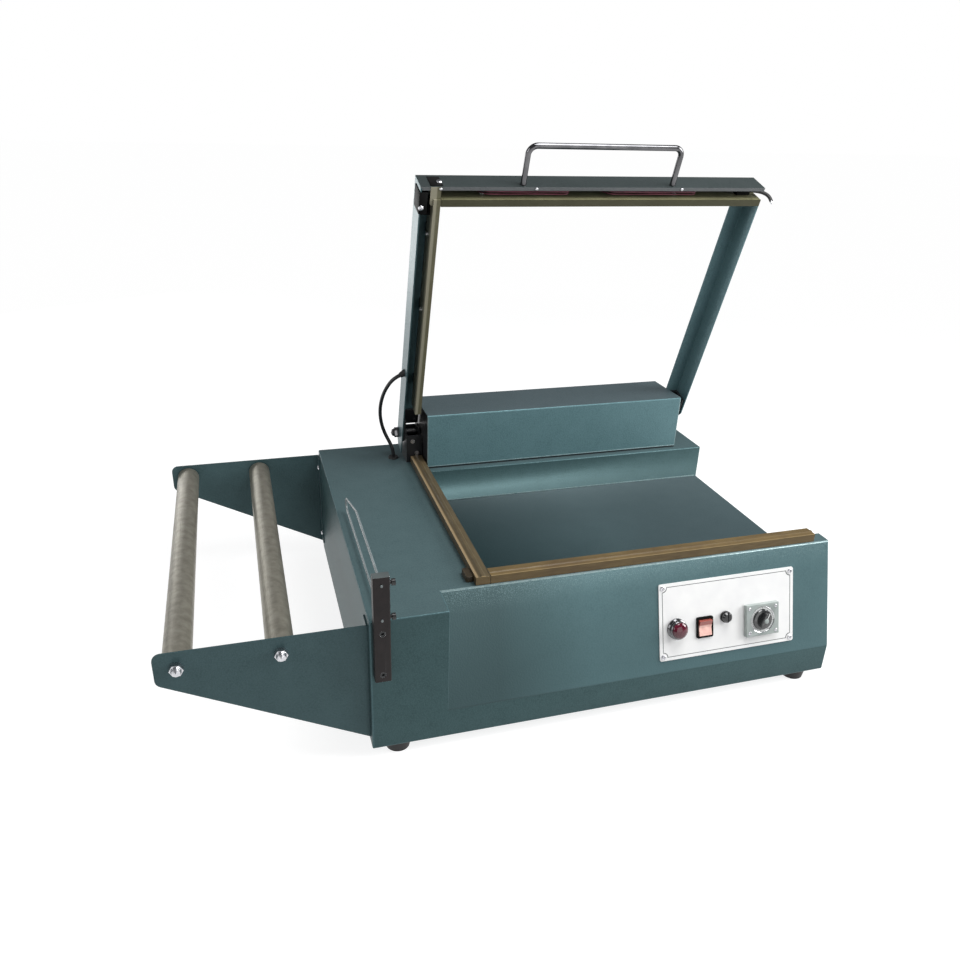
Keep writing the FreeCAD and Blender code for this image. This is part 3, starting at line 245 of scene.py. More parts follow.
# the arm's own directions at rest: out from the shaft, and in from its top face
armJoint = joints["arm_hinge"]
armPivot = Vector(armJoint["pos_m"])
armTurn = math.radians(armJoint["range_deg"][1])
armOut = Vector((0, -math.cos(armTurn), math.sin(armTurn)))
armIn = Vector((0, -math.sin(armTurn), -math.cos(armTurn)))


def reachOf(node, axis):
    # how far a node reaches along axis
    return max(vertex.co.dot(axis) for vertex in frame["nodes"][node].data.vertices)


armReach = reachOf("arm_front", armOut) - armPivot.dot(armOut)
armRise = reachOf("arm_front", -armIn) + armPivot.dot(armIn)


def armPoint(x, out, depth):
    # x as in the frame; out from the shaft; depth below the arm's top face
    centre = Vector((x, armPivot.y, armPivot.z))
    return centre + armOut * out + armIn * (depth - armRise)


def startMaterial(name, settings=None):
    material = bpy.data.materials.new(name)
    material.use_nodes = True
    shader = material.node_tree.nodes["Principled BSDF"]
    for socket, value in (settings or {}).items():
        shader.inputs[socket].default_value = value
    return material, material.node_tree, shader


def addNode(tree, kind, sockets=None, **settings):
    node = tree.nodes.new(kind)
    for key, value in settings.items():
        setattr(node, key, value)
    for socket, value in (sockets or {}).items():
        node.inputs[socket].default_value = value
    return node


def placed(tree, texture, stretch=(1, 1, 1)):
    # texture in object space, in metres
    coordinates = addNode(tree, "ShaderNodeTexCoord")
    mapping = addNode(tree, "ShaderNodeMapping", {"Scale": stretch})
    tree.links.new(coordinates.outputs["Object"], mapping.inputs["Vector"])
    tree.links.new(mapping.outputs["Vector"], texture.inputs["Vector"])
    return texture


def distanceAlong(tree, axis=(0, 0, 1)):
    # distance along axis at rest; along +Z it is the height over the floor
    node = addNode(tree, "ShaderNodeVectorMath", operation="DOT_PRODUCT")
    tree.links.new(addNode(tree, "ShaderNodeTexCoord").outputs["Object"], node.inputs[0])
    node.inputs[1].default_value = axis
    return node.outputs["Value"]


def noise(tree, size, detail=3, roughness=0.55, stretch=(1, 1, 1)):
    texture = addNode(tree, "ShaderNodeTexNoise",
                      {"Scale": 1 / size, "Detail": detail, "Roughness": roughness})
    return placed(tree, texture, stretch).outputs["Fac"]


def spread(tree, source, low, high, fromLow=0.3, fromHigh=0.7):
    node = addNode(tree, "ShaderNodeMapRange", {"From Min": fromLow, "From Max": fromHigh,
                                                "To Min": low, "To Max": high})
    tree.links.new(source, node.inputs["Value"])
    return node.outputs["Result"]


def blended(tree, amount, first, second):
    # colours or sockets mixed by amount
    node = addNode(tree, "ShaderNodeMix", data_type="RGBA")
    tree.links.new(amount, node.inputs["Factor"])
    for socket, value in (("A", first), ("B", second)):
        target = next(item for item in node.inputs
                      if item.name == socket and item.type == "RGBA")
        if isinstance(value, (tuple, list)):
            target.default_value = (*value[:3], 1)
        else:
            tree.links.new(value, target)
    return next(item for item in node.outputs if item.type == "RGBA")


def combined(tree, first, second, how="ADD"):
    node = addNode(tree, "ShaderNodeMath", operation=how)
    for socket, value in zip(node.inputs, (first, second)):
        if isinstance(value, (int, float)):
            socket.default_value = value
        else:
            tree.links.new(value, socket)
    return node.outputs[0]


def addBump(tree, shader, height, depth):
    node = addNode(tree, "ShaderNodeBump", {"Strength": 1.0, "Distance": depth})
    tree.links.new(height, node.inputs["Height"])
    tree.links.new(node.outputs["Normal"], shader.inputs["Normal"])


def hammerMaterial(name, look):
    # hammertone paint: shallow cells with darker rims and a faint metallic grain
    material, tree, shader = startMaterial(name, {"Metallic": look["metallic"],
                                                  "Specular IOR Level": look["specular"]})
    cells = placed(tree, addNode(tree, "ShaderNodeTexVoronoi", {"Scale": 1 / look["cell"]},
                                 feature="SMOOTH_F1")).outputs["Distance"]
    cloud = noise(tree, look["cell"] * look["cloudCells"], 3)
    grain = noise(tree, look["cell"] * look["grainCells"], 2)
    rims = spread(tree, cells, 0, 1, *look["rimEdge"])
    flecks = combined(tree, rims, spread(tree, grain, -look["fleck"], look["fleck"]))
    colour = blended(tree, flecks, look["colour"], look["rim"])
    colour = blended(tree, spread(tree, cloud, 0, 0.5), colour, look["cloud"])
    if "foot" in look:    # darker towards the floor: painted shade
        lower = spread(tree, distanceAlong(tree), look["foot"], 0, *look["footHeight"])
        colour = blended(tree, lower, colour, look.get("dusk", look["rim"]))
    if "dim" in look:    # darker towards the left end: painted shade
        left = spread(tree, distanceAlong(tree, (1, 0, 0)), 1, 0, *look["dimWidth"])
        colour = blended(tree, left, colour, look["dim"])
    if "glint" in look:    # painted glints of light along the top
        upper = spread(tree, distanceAlong(tree), 0, 1, *look["glintHeight"])
        sparks = spread(tree, grain, 0, 1, *look["sparkEdge"])
        colour = blended(tree, combined(tree, upper, sparks, "MULTIPLY"), colour,
                         look["glint"])
    tree.links.new(colour, shader.inputs["Base Color"])
    tree.links.new(spread(tree, grain, *look["roughness"]), shader.inputs["Roughness"])
    height = combined(tree, cells, combined(tree, grain, look["grainHeight"], "MULTIPLY"))
    addBump(tree, shader, height, look["depth"])
    return material


def metalMaterial(name, look):
    # metal with fine drawn or turned lines along the stretched direction
    material, tree, shader = startMaterial(name, {"Metallic": look["metallic"]})
    lines = noise(tree, look["line"], 4, 0.6, look["stretch"])
    stains = noise(tree, look["stain"], 3)
    colour = blended(tree, spread(tree, stains, 0, 1), look["colour"], look["dark"])
    tree.links.new(colour, shader.inputs["Base Color"])
    tree.links.new(spread(tree, lines, *look["roughness"]), shader.inputs["Roughness"])
    addBump(tree, shader, lines, look["depth"])
    return material


def mouldedMaterial(name, look):
    # plastic, rubber or dull paint with a fine grain and wide smudges
    material, tree, shader = startMaterial(name, {"Specular IOR Level": look["specular"],
                                                  "Coat Weight": look["coat"]})
    grain = noise(tree, look["grain"], 2)
    smudge = noise(tree, look["grain"] * look["smudgeGrains"], 3)
    colour = blended(tree, spread(tree, smudge, 0, 1), look["colour"], look["dark"])
    tree.links.new(colour, shader.inputs["Base Color"])
    tree.links.new(spread(tree, grain, *look["roughness"]), shader.inputs["Roughness"])
    addBump(tree, shader, grain, look["depth"])
    return material


def tapeMaterial(name, look):
    # coated glass cloth: fine weave, lengthwise streaks and scorched patches
    material, tree, shader = startMaterial(name, {"Specular IOR Level": look["specular"]})
    waves = []
    for axis in ("X", "Y", "Z"):
        wave = addNode(tree, "ShaderNodeTexWave", {"Scale": 1 / (look["thread"] * 6.28),
                                                   "Distortion": 0.4, "Detail": 1},
                       bands_direction=axis)
        waves.append(placed(tree, wave).outputs["Fac"])
    weave = combined(tree, combined(tree, waves[0], waves[1]), waves[2])
    streaks = noise(tree, look["streak"], 4, 0.6, look["stretch"])
    scorch = noise(tree, look["scorchSize"], 3)
    colour = blended(tree, spread(tree, streaks, 0, 1), look["colour"], look["streakColour"])
    colour = blended(tree, spread(tree, scorch, 0, 0.7, *look["scorchEdge"]), colour,
                     look["scorch"])
    colour = blended(tree, spread(tree, weave, 0, 0.35, *look["gapEdge"]), colour, look["gap"])
    # a band along the crown: painted highlight on the lower tapes and the side bars, painted shade on the upper
    # tape's lower face
    axis, low, high, crownShadingColour = look["crown"]
    crownShading = spread(tree, distanceAlong(tree, axis), 0, 0.8, low, high)
    colour = blended(tree, crownShading, colour, crownShadingColour)
    tree.links.new(colour, shader.inputs["Base Color"])
    tree.links.new(spread(tree, streaks, *look["roughness"]), shader.inputs["Roughness"])
    height = combined(tree, combined(tree, weave, 0.25, "MULTIPLY"), streaks)
    addBump(tree, shader, height, look["depth"])
    return material


# bands of painted light and shade on the tapes: directions, and how far the tapes reach along them
sideShoulder = Vector((-0.35, 0, 0.94))
sideCrown = reachOf("lower_jaw_tapes", sideShoulder)
frontShoulder = Vector((0, -0.2, 0.98))
frontCrown = reachOf("lower_jaw_tapes", frontShoulder)
jawBottom = reachOf("upper_jaw_tapes", armIn)
sideBarMiddle = -(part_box("upper_jaw_left")[0][0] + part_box("upper_jaw_left")[1][0]) / 2

# each family: what its finishes share, then each finish; sizes in metres
paintCommon = {"cell": 0.0019, "cloudCells": 14, "grainCells": 0.45, "rimEdge": (0.15, 0.75),
               "fleck": 0.35, "grainHeight": 0.35, "sparkEdge": (0.5, 0.68),
               "footHeight": (0.0, 0.2),
               "roughness": (0.34, 0.5), "depth": 0.00014, "metallic": 0.3, "specular": 0.24}
paints = {
    "hammer": {"colour": (0.074, 0.140, 0.153), "rim": (0.054, 0.105, 0.115),
               "cloud": (0.080, 0.148, 0.160), "depth": 0.00016},
    # painted shade: darker copy for the cabinet's faces that look to the front or the left
    "hammerFront": {"colour": (0.052, 0.099, 0.104), "rim": (0.040, 0.078, 0.082),
                    "cloud": (0.057, 0.106, 0.112), "roughness": (0.36, 0.52),
                    "specular": 0.15},
    # the sloping panel: lighter copy, painted light, with painted shade towards the floor and the left end and
    # painted glints along the top
    "hammerPanel": {"colour": (0.084, 0.156, 0.168), "rim": (0.064, 0.122, 0.132),
                    "cloud": (0.090, 0.164, 0.176), "cell": 0.0021, "depth": 0.00016,
                    "foot": 1.0, "dusk": (0.060, 0.116, 0.126),
                    "glint": (0.21, 0.315, 0.325), "glintHeight": (0.175, 0.218),
                    "dim": (0.040, 0.074, 0.079), "dimWidth": (-0.045, 0.085)},
    # painted light: a lighter, greyer copy for the cabinet's top faces
    "topPaint": {"colour": (0.088, 0.142, 0.150), "rim": (0.068, 0.112, 0.120),
                 "cloud": (0.094, 0.150, 0.158)},
    # painted shade: darker copy for the tray's floor, darker still towards its left end
    "trayPaint": {"colour": (0.046, 0.074, 0.081), "rim": (0.038, 0.062, 0.068),
                  "cloud": (0.050, 0.078, 0.085), "depth": 0.00012,
                  "dim": (0.012, 0.025, 0.028), "dimWidth": (-0.02, 0.20)},
    # painted shade: darker copy for the housing's top
    "housingTop": {"colour": (0.090, 0.125, 0.137), "rim": (0.072, 0.104, 0.114),
                   "cloud": (0.096, 0.130, 0.142)},
    # painted shade: darker copy for the stand plates and the arm's left wall, darker still towards the floor
    "hammerDark": {"colour": (0.056, 0.102, 0.110), "rim": (0.041, 0.078, 0.084),
                   "cloud": (0.062, 0.110, 0.118), "roughness": (0.34, 0.52),
                   "depth": 0.00016, "foot": 0.3},
    # painted highlight: pale copy for the lip of the arm's front wall
    "lipGrey": {"colour": (0.115, 0.122, 0.126), "rim": (0.075, 0.085, 0.088),
                "cloud": (0.13, 0.135, 0.14), "roughness": (0.3, 0.46), "depth": 0.00012,
                "specular": 0.3},
    # painted shade: dark grey copy for the outer face of the arm's front wall
    "armPaint": {"colour": (0.034, 0.045, 0.045), "rim": (0.026, 0.035, 0.035),
                 "cloud": (0.040, 0.049, 0.050), "roughness": (0.3, 0.46), "specular": 0.3},
    # painted light: lighter copy for the arm's right member
    "armSide": {"colour": (0.130, 0.225, 0.245), "rim": (0.100, 0.176, 0.192),
                "cloud": (0.138, 0.235, 0.255), "depth": 0.00015},
    # painted light: lighter copy for the housing and the arm's front wall
    "hammerLight": {"colour": (0.106, 0.198, 0.216), "rim": (0.080, 0.152, 0.165),
                    "cloud": (0.114, 0.208, 0.226), "depth": 0.00015},
    # painted sheen: lighter copy for the outside of the arm's left wall
    "hammerCheek": {"colour": (0.110, 0.185, 0.200), "rim": (0.080, 0.140, 0.152),
                    "cloud": (0.125, 0.200, 0.215), "cell": 0.0026, "roughness": (0.3, 0.42),
                    "depth": 0.00012, "specular": 0.6},
    # painted highlight: pale copy for rounded edges and thin sheet edges, darker towards the floor
    "paintEdge": {"colour": (0.30, 0.40, 0.41), "rim": (0.13, 0.21, 0.22),
                  "cloud": (0.30, 0.40, 0.41), "cell": 0.0022, "roughness": (0.26, 0.4),
                  "depth": 0.0001, "metallic": 0.35, "specular": 0.4, "foot": 0.5},
}
metalCommon = {"metallic": 1.0, "stretch": (1, 1, 1), "line": 0.0006, "depth": 0.00002}
metals = {
    "roller": {"colour": (0.36, 0.34, 0.28), "dark": (0.24, 0.225, 0.185), "line": 0.0012,
               "stain": 0.012, "stretch": (1, 6, 1), "roughness": (0.34, 0.5),
               "depth": 0.00003, "metallic": 0.7},
    "darkChrome": {"colour": (0.16, 0.16, 0.165), "dark": (0.09, 0.09, 0.095), "line": 0.004,
                   "stain": 0.02, "roughness": (0.06, 0.14), "depth": 0.000004},
    "chromed": {"colour": (0.80, 0.80, 0.81), "dark": (0.68, 0.68, 0.70), "line": 0.004,
                "stain": 0.02, "roughness": (0.05, 0.12), "depth": 0.000004},
    "zinc": {"colour": (0.70, 0.70, 0.72), "dark": (0.50, 0.50, 0.53), "stain": 0.004,
             "roughness": (0.16, 0.34)},
    "machined": {"colour": (0.58, 0.58, 0.60), "dark": (0.42, 0.42, 0.44), "stain": 0.012,
                 "stretch": (0.1, 1, 1), "roughness": (0.22, 0.4)},
    "alloy": {"colour": (0.60, 0.60, 0.60), "dark": (0.46, 0.46, 0.47), "stain": 0.02,
              "stretch": (0.1, 0.1, 1), "roughness": (0.3, 0.45)},
}
mouldedCommon = {"grain": 0.0006, "smudgeGrains": 30, "depth": 0.00002, "specular": 0.4,
                 "coat": 0.0}
moulded = {
    "blackSteel": {"colour": (0.018, 0.019, 0.021), "dark": (0.010, 0.011, 0.012),
                   "grain": 0.0009, "roughness": (0.3, 0.46), "depth": 0.00006,
                   "specular": 0.5},
    "smokedPlastic": {"colour": (0.035, 0.037, 0.038), "dark": (0.018, 0.019, 0.020),
                      "grain": 0.0007, "roughness": (0.08, 0.18), "depth": 0.00001,
                      "specular": 0.6, "coat": 0.6},
    "brownBlock": {"colour": (0.050, 0.037, 0.021), "dark": (0.030, 0.022, 0.013),
                   "grain": 0.0007, "roughness": (0.4, 0.55), "depth": 0.00003,
                   "specular": 0.3},
    # painted light: lighter copy of the black for the guide block's top
    "wornBlack": {"colour": (0.085, 0.100, 0.100), "dark": (0.060, 0.070, 0.070),
                  "roughness": (0.3, 0.45)},
    "loopSteel": {"colour": (0.20, 0.23, 0.235), "dark": (0.11, 0.13, 0.135),
                  "grain": 0.002, "roughness": (0.2, 0.34), "depth": 0.00001,
                  "specular": 0.7},
    "anodised": {"colour": (0.021, 0.016, 0.016), "dark": (0.013, 0.010, 0.010),
                 "grain": 0.0005, "roughness": (0.34, 0.46), "specular": 0.22},
    "glossBlack": {"colour": (0.012, 0.012, 0.013), "dark": (0.008, 0.008, 0.008),
                   "roughness": (0.04, 0.1), "depth": 0.000004, "specular": 0.5,
                   "coat": 0.5},
    "mattBlack": {"colour": (0.010, 0.010, 0.010), "dark": (0.006, 0.006, 0.006),
                  "roughness": (0.4, 0.55), "specular": 0.04},
    "blackPlastic": {"colour": (0.016, 0.016, 0.017), "dark": (0.010, 0.010, 0.010),
                     "roughness": (0.22, 0.36), "specular": 0.5},
    "rubber": {"colour": (0.014, 0.014, 0.014), "dark": (0.020, 0.020, 0.020),
               "grain": 0.0008, "roughness": (0.45, 0.62), "depth": 0.00005,
               "specular": 0.35},
    "lead": {"colour": (0.012, 0.012, 0.013), "dark": (0.018, 0.018, 0.019),
             "grain": 0.0011, "roughness": (0.28, 0.4), "depth": 0.00003, "specular": 0.5},
    "redSleeve": {"colour": (0.24, 0.062, 0.095), "dark": (0.11, 0.026, 0.042),
                  "grain": 0.0007, "roughness": (0.3, 0.45), "depth": 0.00004},
    "timerGrey": {"colour": (0.38, 0.42, 0.40), "dark": (0.30, 0.34, 0.33),
                  "roughness": (0.3, 0.42)},
    "dialWhite": {"colour": (0.70, 0.72, 0.71), "dark": (0.62, 0.64, 0.63),
                  "grain": 0.0008, "roughness": (0.25, 0.35), "depth": 0.00001},
    "borderGrey": {"colour": (0.16, 0.17, 0.17), "dark": (0.10, 0.11, 0.11),
                   "grain": 0.0005, "roughness": (0.2, 0.3), "depth": 0.00001},
    "ink": {"colour": (0.03, 0.03, 0.035), "dark": (0.05, 0.05, 0.055),
            "grain": 0.0005, "roughness": (0.4, 0.5), "depth": 0.00001},
    "silicone": {"colour": (0.55, 0.53, 0.48), "dark": (0.45, 0.43, 0.38),
                 "grain": 0.001, "roughness": (0.4, 0.55), "depth": 0.00003},
    "varnish": {"colour": (0.20, 0.09, 0.03), "dark": (0.12, 0.05, 0.02),
                "grain": 0.001, "roughness": (0.3, 0.5), "depth": 0.0001},
    "iron": {"colour": (0.06, 0.06, 0.065), "dark": (0.10, 0.06, 0.04),
             "grain": 0.0007, "roughness": (0.5, 0.7), "depth": 0.0001},
}
tapeCommon = {"thread": 0.0009, "streak": 0.003, "scorchSize": 0.05, "scorchEdge": (0.45, 0.75),
              "gapEdge": (0.6, 2.4), "roughness": (0.3, 0.5), "depth": 0.00006}
tapes = {
    # painted highlight on a band along the front shoulder
    "lowerTape": {"colour": (0.155, 0.108, 0.045), "streakColour": (0.100, 0.068, 0.030),
                  "scorch": (0.08, 0.052, 0.026), "gap": (0.08, 0.054, 0.025),
                  "stretch": (0.12, 0.12, 1), "specular": 0.25,
                  "crown": (frontShoulder, frontCrown - 0.0016, frontCrown - 0.0006,
                            (0.50, 0.365, 0.180))},
    # painted shade: darker copy for the left lower bar, with a painted highlight along its shoulder
    "sideTape": {"colour": (0.105, 0.080, 0.043), "streakColour": (0.070, 0.054, 0.029),
                 "scorch": (0.052, 0.038, 0.022), "gap": (0.052, 0.038, 0.022),
                 "stretch": (1, 0.12, 1), "specular": 0.25,
                 "crown": (sideShoulder, sideCrown - 0.0015, sideCrown - 0.0008,
                           (0.30, 0.220, 0.125))},
    # painted light: base lightened for faces in shade, with painted shade on a band along the lower face
    "upperTape": {"colour": (0.180, 0.176, 0.102), "streakColour": (0.125, 0.121, 0.068),
                  "scorch": (0.105, 0.100, 0.058), "gap": (0.10, 0.095, 0.054),
                  "stretch": (0.12, 0.6, 0.12), "specular": 0.2,
                  "crown": (armIn, jawBottom - 0.0012, jawBottom - 0.0006,
                            (0.038, 0.037, 0.020))},
    # painted shade: copy toned for the left upper bar and the tape's tab, with a painted highlight band along it
    "sideUpperTape": {"colour": (0.155, 0.148, 0.094), "streakColour": (0.105, 0.099, 0.061),
                      "scorch": (0.12, 0.110, 0.066), "gap": (0.11, 0.100, 0.060),
                      "stretch": (0.6, 0.12, 0.12), "specular": 0.2,
                      "crown": ((-1, 0, 0), sideBarMiddle - 0.0002, sideBarMiddle + 0.0012,
                                (0.32, 0.300, 0.226))},
}

materials = {}
for makeMaterial, common, family in ((hammerMaterial, paintCommon, paints),
                                     (metalMaterial, metalCommon, metals),
                                     (mouldedMaterial, mouldedCommon, moulded),
                                     (tapeMaterial, tapeCommon, tapes)):
    for key, look in family.items():
        materials[key] = makeMaterial(key, {**common, **look})


def faceplateMaterial():
    # silvery sheet with a faint upright brush
    look = {"colour": (0.86, 0.86, 0.85), "dark": (0.80, 0.80, 0.80), "brush": 0.0005,
            "cloud": 0.03, "roughness": (0.28, 0.42), "depth": 0.00001}
    material, tree, shader = startMaterial("faceplate", {"Metallic": 0.1,
                                                         "Specular IOR Level": 0.5})
    brush = noise(tree, look["brush"], 3, 0.6, (1, 0.05, 0.05))
    cloud = noise(tree, look["cloud"], 2)
    colour = blended(tree, spread(tree, cloud, 0, 1), look["colour"], look["dark"])
    tree.links.new(colour, shader.inputs["Base Color"])
    tree.links.new(spread(tree, brush, *look["roughness"]), shader.inputs["Roughness"])
    addBump(tree, shader, brush, look["depth"])
    return material


def lensMaterial():
    # ruby lamp lens
    look = {"colour": (0.17, 0.006, 0.030), "dark": (0.09, 0.004, 0.016), "cloud": 0.004}
    material, tree, shader = startMaterial("lampRed", {"Roughness": 0.08, "IOR": 1.49,
                                                       "Transmission Weight": 0.35,
                                                       "Coat Weight": 0.4})
    cloud = spread(tree, noise(tree, look["cloud"], 2), 0, 1)
    tree.links.new(blended(tree, cloud, look["colour"], look["dark"]),
                   shader.inputs["Base Color"])
    return material


def rockerMaterial():
    # clear red rocker, its lower two thirds painted pale pink and made to glow faintly: painted light
    look = {"unlit": (0.36, 0.09, 0.07), "lit": (0.80, 0.49, 0.42), "glow": 0.2,
            "litShare": 0.68, "edge": 0.0012, "cloud": 0.006}
    material, tree, shader = startMaterial("rockerRed", {"Specular IOR Level": 0.6,
                                                         "Coat Weight": 0.3})
    low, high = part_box("rocker")
    litTop = low[2] + look["litShare"] * (high[2] - low[2])
    lit = spread(tree, distanceAlong(tree), 1, 0, litTop - look["edge"], litTop + look["edge"])
    cloud = spread(tree, noise(tree, look["cloud"], 2), 0.75, 1.0)
    amount = combined(tree, lit, cloud, "MULTIPLY")
    colour = blended(tree, amount, look["unlit"], look["lit"])
    tree.links.new(colour, shader.inputs["Base Color"])
    tree.links.new(colour, shader.inputs["Emission Color"])
    tree.links.new(combined(tree, amount, look["glow"], "MULTIPLY"),
                   shader.inputs["Emission Strength"])
    tree.links.new(spread(tree, cloud, 0.2, 0.12, 0.75, 1.0), shader.inputs["Roughness"])
    return material


materials["faceplate"] = faceplateMaterial()
materials["redRocker"] = rockerMaterial()
materials["lampRed"] = lensMaterial()


def finish(piece, key):
    piece.data.materials.clear()
    piece.data.materials.append(materials[key])


print("materials made")

# finishes of the frame's own pieces
nodeFinish = {
    "base_plate": "hammer", "rubber_feet": "rubber", "foot_screws": "zinc",
    "lamp_bezel": "darkChrome", "lamp_lens": "lampRed", "rocker_frame": "mattBlack",
    "fuse_body": "glossBlack", "torsion_springs": "machined", "lower_jaw_left": "alloy",
    "lower_jaw_front": "alloy", "silicone_strips": "silicone", "roller_axles": "machined",
    "roller_axle_nuts": "zinc", "transformer_core": "iron", "transformer_coil": "varnish",
    # the hinge shaft and the left upper blade are black: painted shade, as dark as the hinge corner they sit in
    "cable_grommet": "rubber", "hinge_shaft": "blackSteel", "hinge_shaft_nuts": "darkChrome",
    "hinge_bracket_screws": "zinc", "upper_jaw_left": "blackSteel",
    "upper_jaw_front": "alloy", "jaw_screws": "zinc", "heating_wires": "machined",
    "handle": "darkChrome", "handle_nuts": "zinc", "heater_leads": "redSleeve",
    "arm_boot": "rubber", "guide_loop": "loopSteel", "guide_block_screws": "blackSteel",
    "thumb_screw_upper": "blackPlastic", "thumb_screw_lower": "blackPlastic",
    "rocker": "redRocker", "fuse_cap": "glossBlack", "timer_knob": "blackPlastic",
    "roller_outer": "roller", "roller_inner": "roller",
}
for node, key in nodeFinish.items():
    finish(frame["nodes"][node], key)

# skins with rounded edges for the sheet metal and the square blocks
# node: new piece, body, finish, width of the rounded edges in metres, finish of those edges
# the housing, the stand plates and the arm take lighter and darker copies of the hammertone: painted light and
# shade the pale finish on the rounded edges of the housing, the arm's front and the left hinge bracket is a
# painted highlight
skins = {
    "cabinet_shell": ("cabinetSkin", "cabinet", "hammer", 0.0018, None),
    "hinge_housing": ("housingSkin", "cabinet", "hammerLight", 0.0014, "paintEdge"),
    "hinge_base_plate": ("housingFoot", "cabinet", "blackSteel", 0.0003, None),
    "roll_bracket_near": ("nearStandPlate", "cabinet", "hammerDark", 0.0006, None),
    "roll_bracket_far": ("farStandPlate", "cabinet", "hammerDark", 0.0006, None),
    "arm_left": ("armLeftAngle", "arm", "hammerCheek", 0.0006, None),
    "arm_front": ("armFrontAngle", "arm", "hammerLight", 0.0006, "paintEdge"),
    "arm_right": ("armRightAngle", "arm", "armSide", 0.0006, None),
    "arm_hinge_plate_left": ("armHingePlateLeft", "arm", "blackSteel", 0.0004, None),
    "arm_hinge_plate_right": ("armHingePlateRight", "arm", "blackSteel", 0.0004, None),
    "hinge_bracket_left": ("hingeBracketLeft", "cabinet", "blackSteel", 0.0006, "paintEdge"),
    "hinge_bracket_right": ("hingeBracketRight", "cabinet", "blackSteel", 0.0004, None),
    "control_plate": ("facePlate", "cabinet", "faceplate", 0.0002, None),
    "timer_case": ("timerFrame", "cabinet", "timerGrey", 0.0006, None),
    "guide_block": ("guideBlock", "cabinet", "anodised", 0.0004, "zinc"),
    "jaw_corner_block": ("jawCornerBlock", "cabinet", "brownBlock", 0.0005, None),
    "wire_terminals": ("wireTerminals", "arm", "mattBlack", 0.0005, None),
}


def skinOf(node, name, body, key, width, edgeKey=None):
    # copy of a node's form with its sharp edges rounded
    build = bmesh.new()
    build.from_mesh(frame["nodes"][node].data)
    bmesh.ops.remove_doubles(build, verts=build.verts, dist=1e-6)
    bmesh.ops.dissolve_limit(build, angle_limit=math.radians(0.5), verts=build.verts,
                             edges=build.edges)
    mesh = bpy.data.meshes.new(name)
    build.to_mesh(mesh)
    build.free()
    piece = objectFrom(name, mesh, body)
    finish(piece, key)
    if edgeKey:
        mesh.materials.append(materials[edgeKey])
    addBevel(piece, width, finishSlot=1 if edgeKey else -1,
             longest=node in ("cabinet_shell", "hinge_housing"))
    bakeModifiers(piece)
    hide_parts(node)
    return piece


def paintFaces(piece, key, pick):
    # another finish on the faces that pick(centre, normal) chooses
    piece.data.materials.append(materials[key])
    for face in piece.data.polygons:
        if pick(face.center, face.normal):
            face.material_index = len(piece.data.materials) - 1


skinPieces = {}
for node, (name, body, key, width, edgeKey) in skins.items():
    skinPieces[node] = skinOf(node, name, body, key, width, edgeKey)

upward, leftward = Vector((0, 0, 1)), Vector((-1, 0, 0))
# faces that look along a direction, at least so nearly: node, finish, direction, cosine
sides = [
    # painted shade: the housing's top darker than its front, and its left end black
    ("hinge_housing", "housingTop", upward, 0.9), ("hinge_housing", "blackSteel", leftward, 0.9),
    # painted shade on the outer face of the arm's front wall, painted highlight on its lip
    ("arm_front", "armPaint", armOut, 0.9), ("arm_front", "lipGrey", armIn, 0.9),
    # painted shade: the arm's left wall darker inside, and black on its lower ends
    ("arm_left", "hammerDark", armIn, 0.9), ("arm_left", "mattBlack", -armOut, 0.9),
    # painted light: the guide block's top lighter
    ("guide_block", "wornBlack", upward, 0.9),
]
for node, key, direction, least in sides:
    paintFaces(skinPieces[node], key, lambda centre, normal: normal.dot(direction) > least)

cabinetSkin = skinPieces["cabinet_shell"]
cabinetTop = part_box("cabinet_shell")[1][2]
# right end of the fold between the cabinet's top and its sloping panel
panelTop = min((vertex.co for vertex in frame["nodes"]["cabinet_shell"].data.vertices),
               key=lambda point: (-round(point.z, 4), -round(point.x, 3), point.y))
foldReach = 0.003
# painted shade on the faces that look to the front or the left
paintFaces(cabinetSkin, "hammerFront",
           lambda centre, normal: normal.y < -0.98 or normal.x < -0.9)
# painted light and shade on the sloping panel
paintFaces(cabinetSkin, "hammerPanel",
           lambda centre, normal: normal.dot(panelNormal) > 0.99)
# painted light on the cabinet's top faces
paintFaces(cabinetSkin, "topPaint",
           lambda centre, normal: normal.z > 0.98 and centre.z > cabinetTop - 0.002)
# painted shade on the up-facing faces below the top
paintFaces(cabinetSkin, "trayPaint",
           lambda centre, normal: normal.z > 0.9 and centre.z < cabinetTop - 0.005)
# painted highlight along the rounded fold at the sloping panel's top
paintFaces(cabinetSkin, "paintEdge",
           lambda centre, normal: (abs(centre.y - panelTop.y) < foldReach
                                   and abs(centre.z - panelTop.z) < foldReach
                                   and normal.z < 0.98 and normal.dot(panelNormal) < 0.99))
print("skins made")

camera = {"place": (-0.33175, -1.07401, 0.76756), "right": (0.95932, -0.28073, 0.03006),
          "up": (0.09156, 0.41005, 0.90745), "forward": (0.26708, 0.86778, -0.41907),
          "lens": 30.842}


def makeCamera():
    data = bpy.data.cameras.new("camera")
    data.lens = camera["lens"]
    data.sensor_width = 36
    data.clip_end = 50
    view = bpy.data.objects.new("camera", data)
    turn = axesMatrix(camera["right"], camera["up"], -Vector(camera["forward"]))
    view.matrix_world = Matrix.Translation(camera["place"]) @ turn
    bpy.context.scene.collection.objects.link(view)
    bpy.context.scene.camera = view


makeCamera()

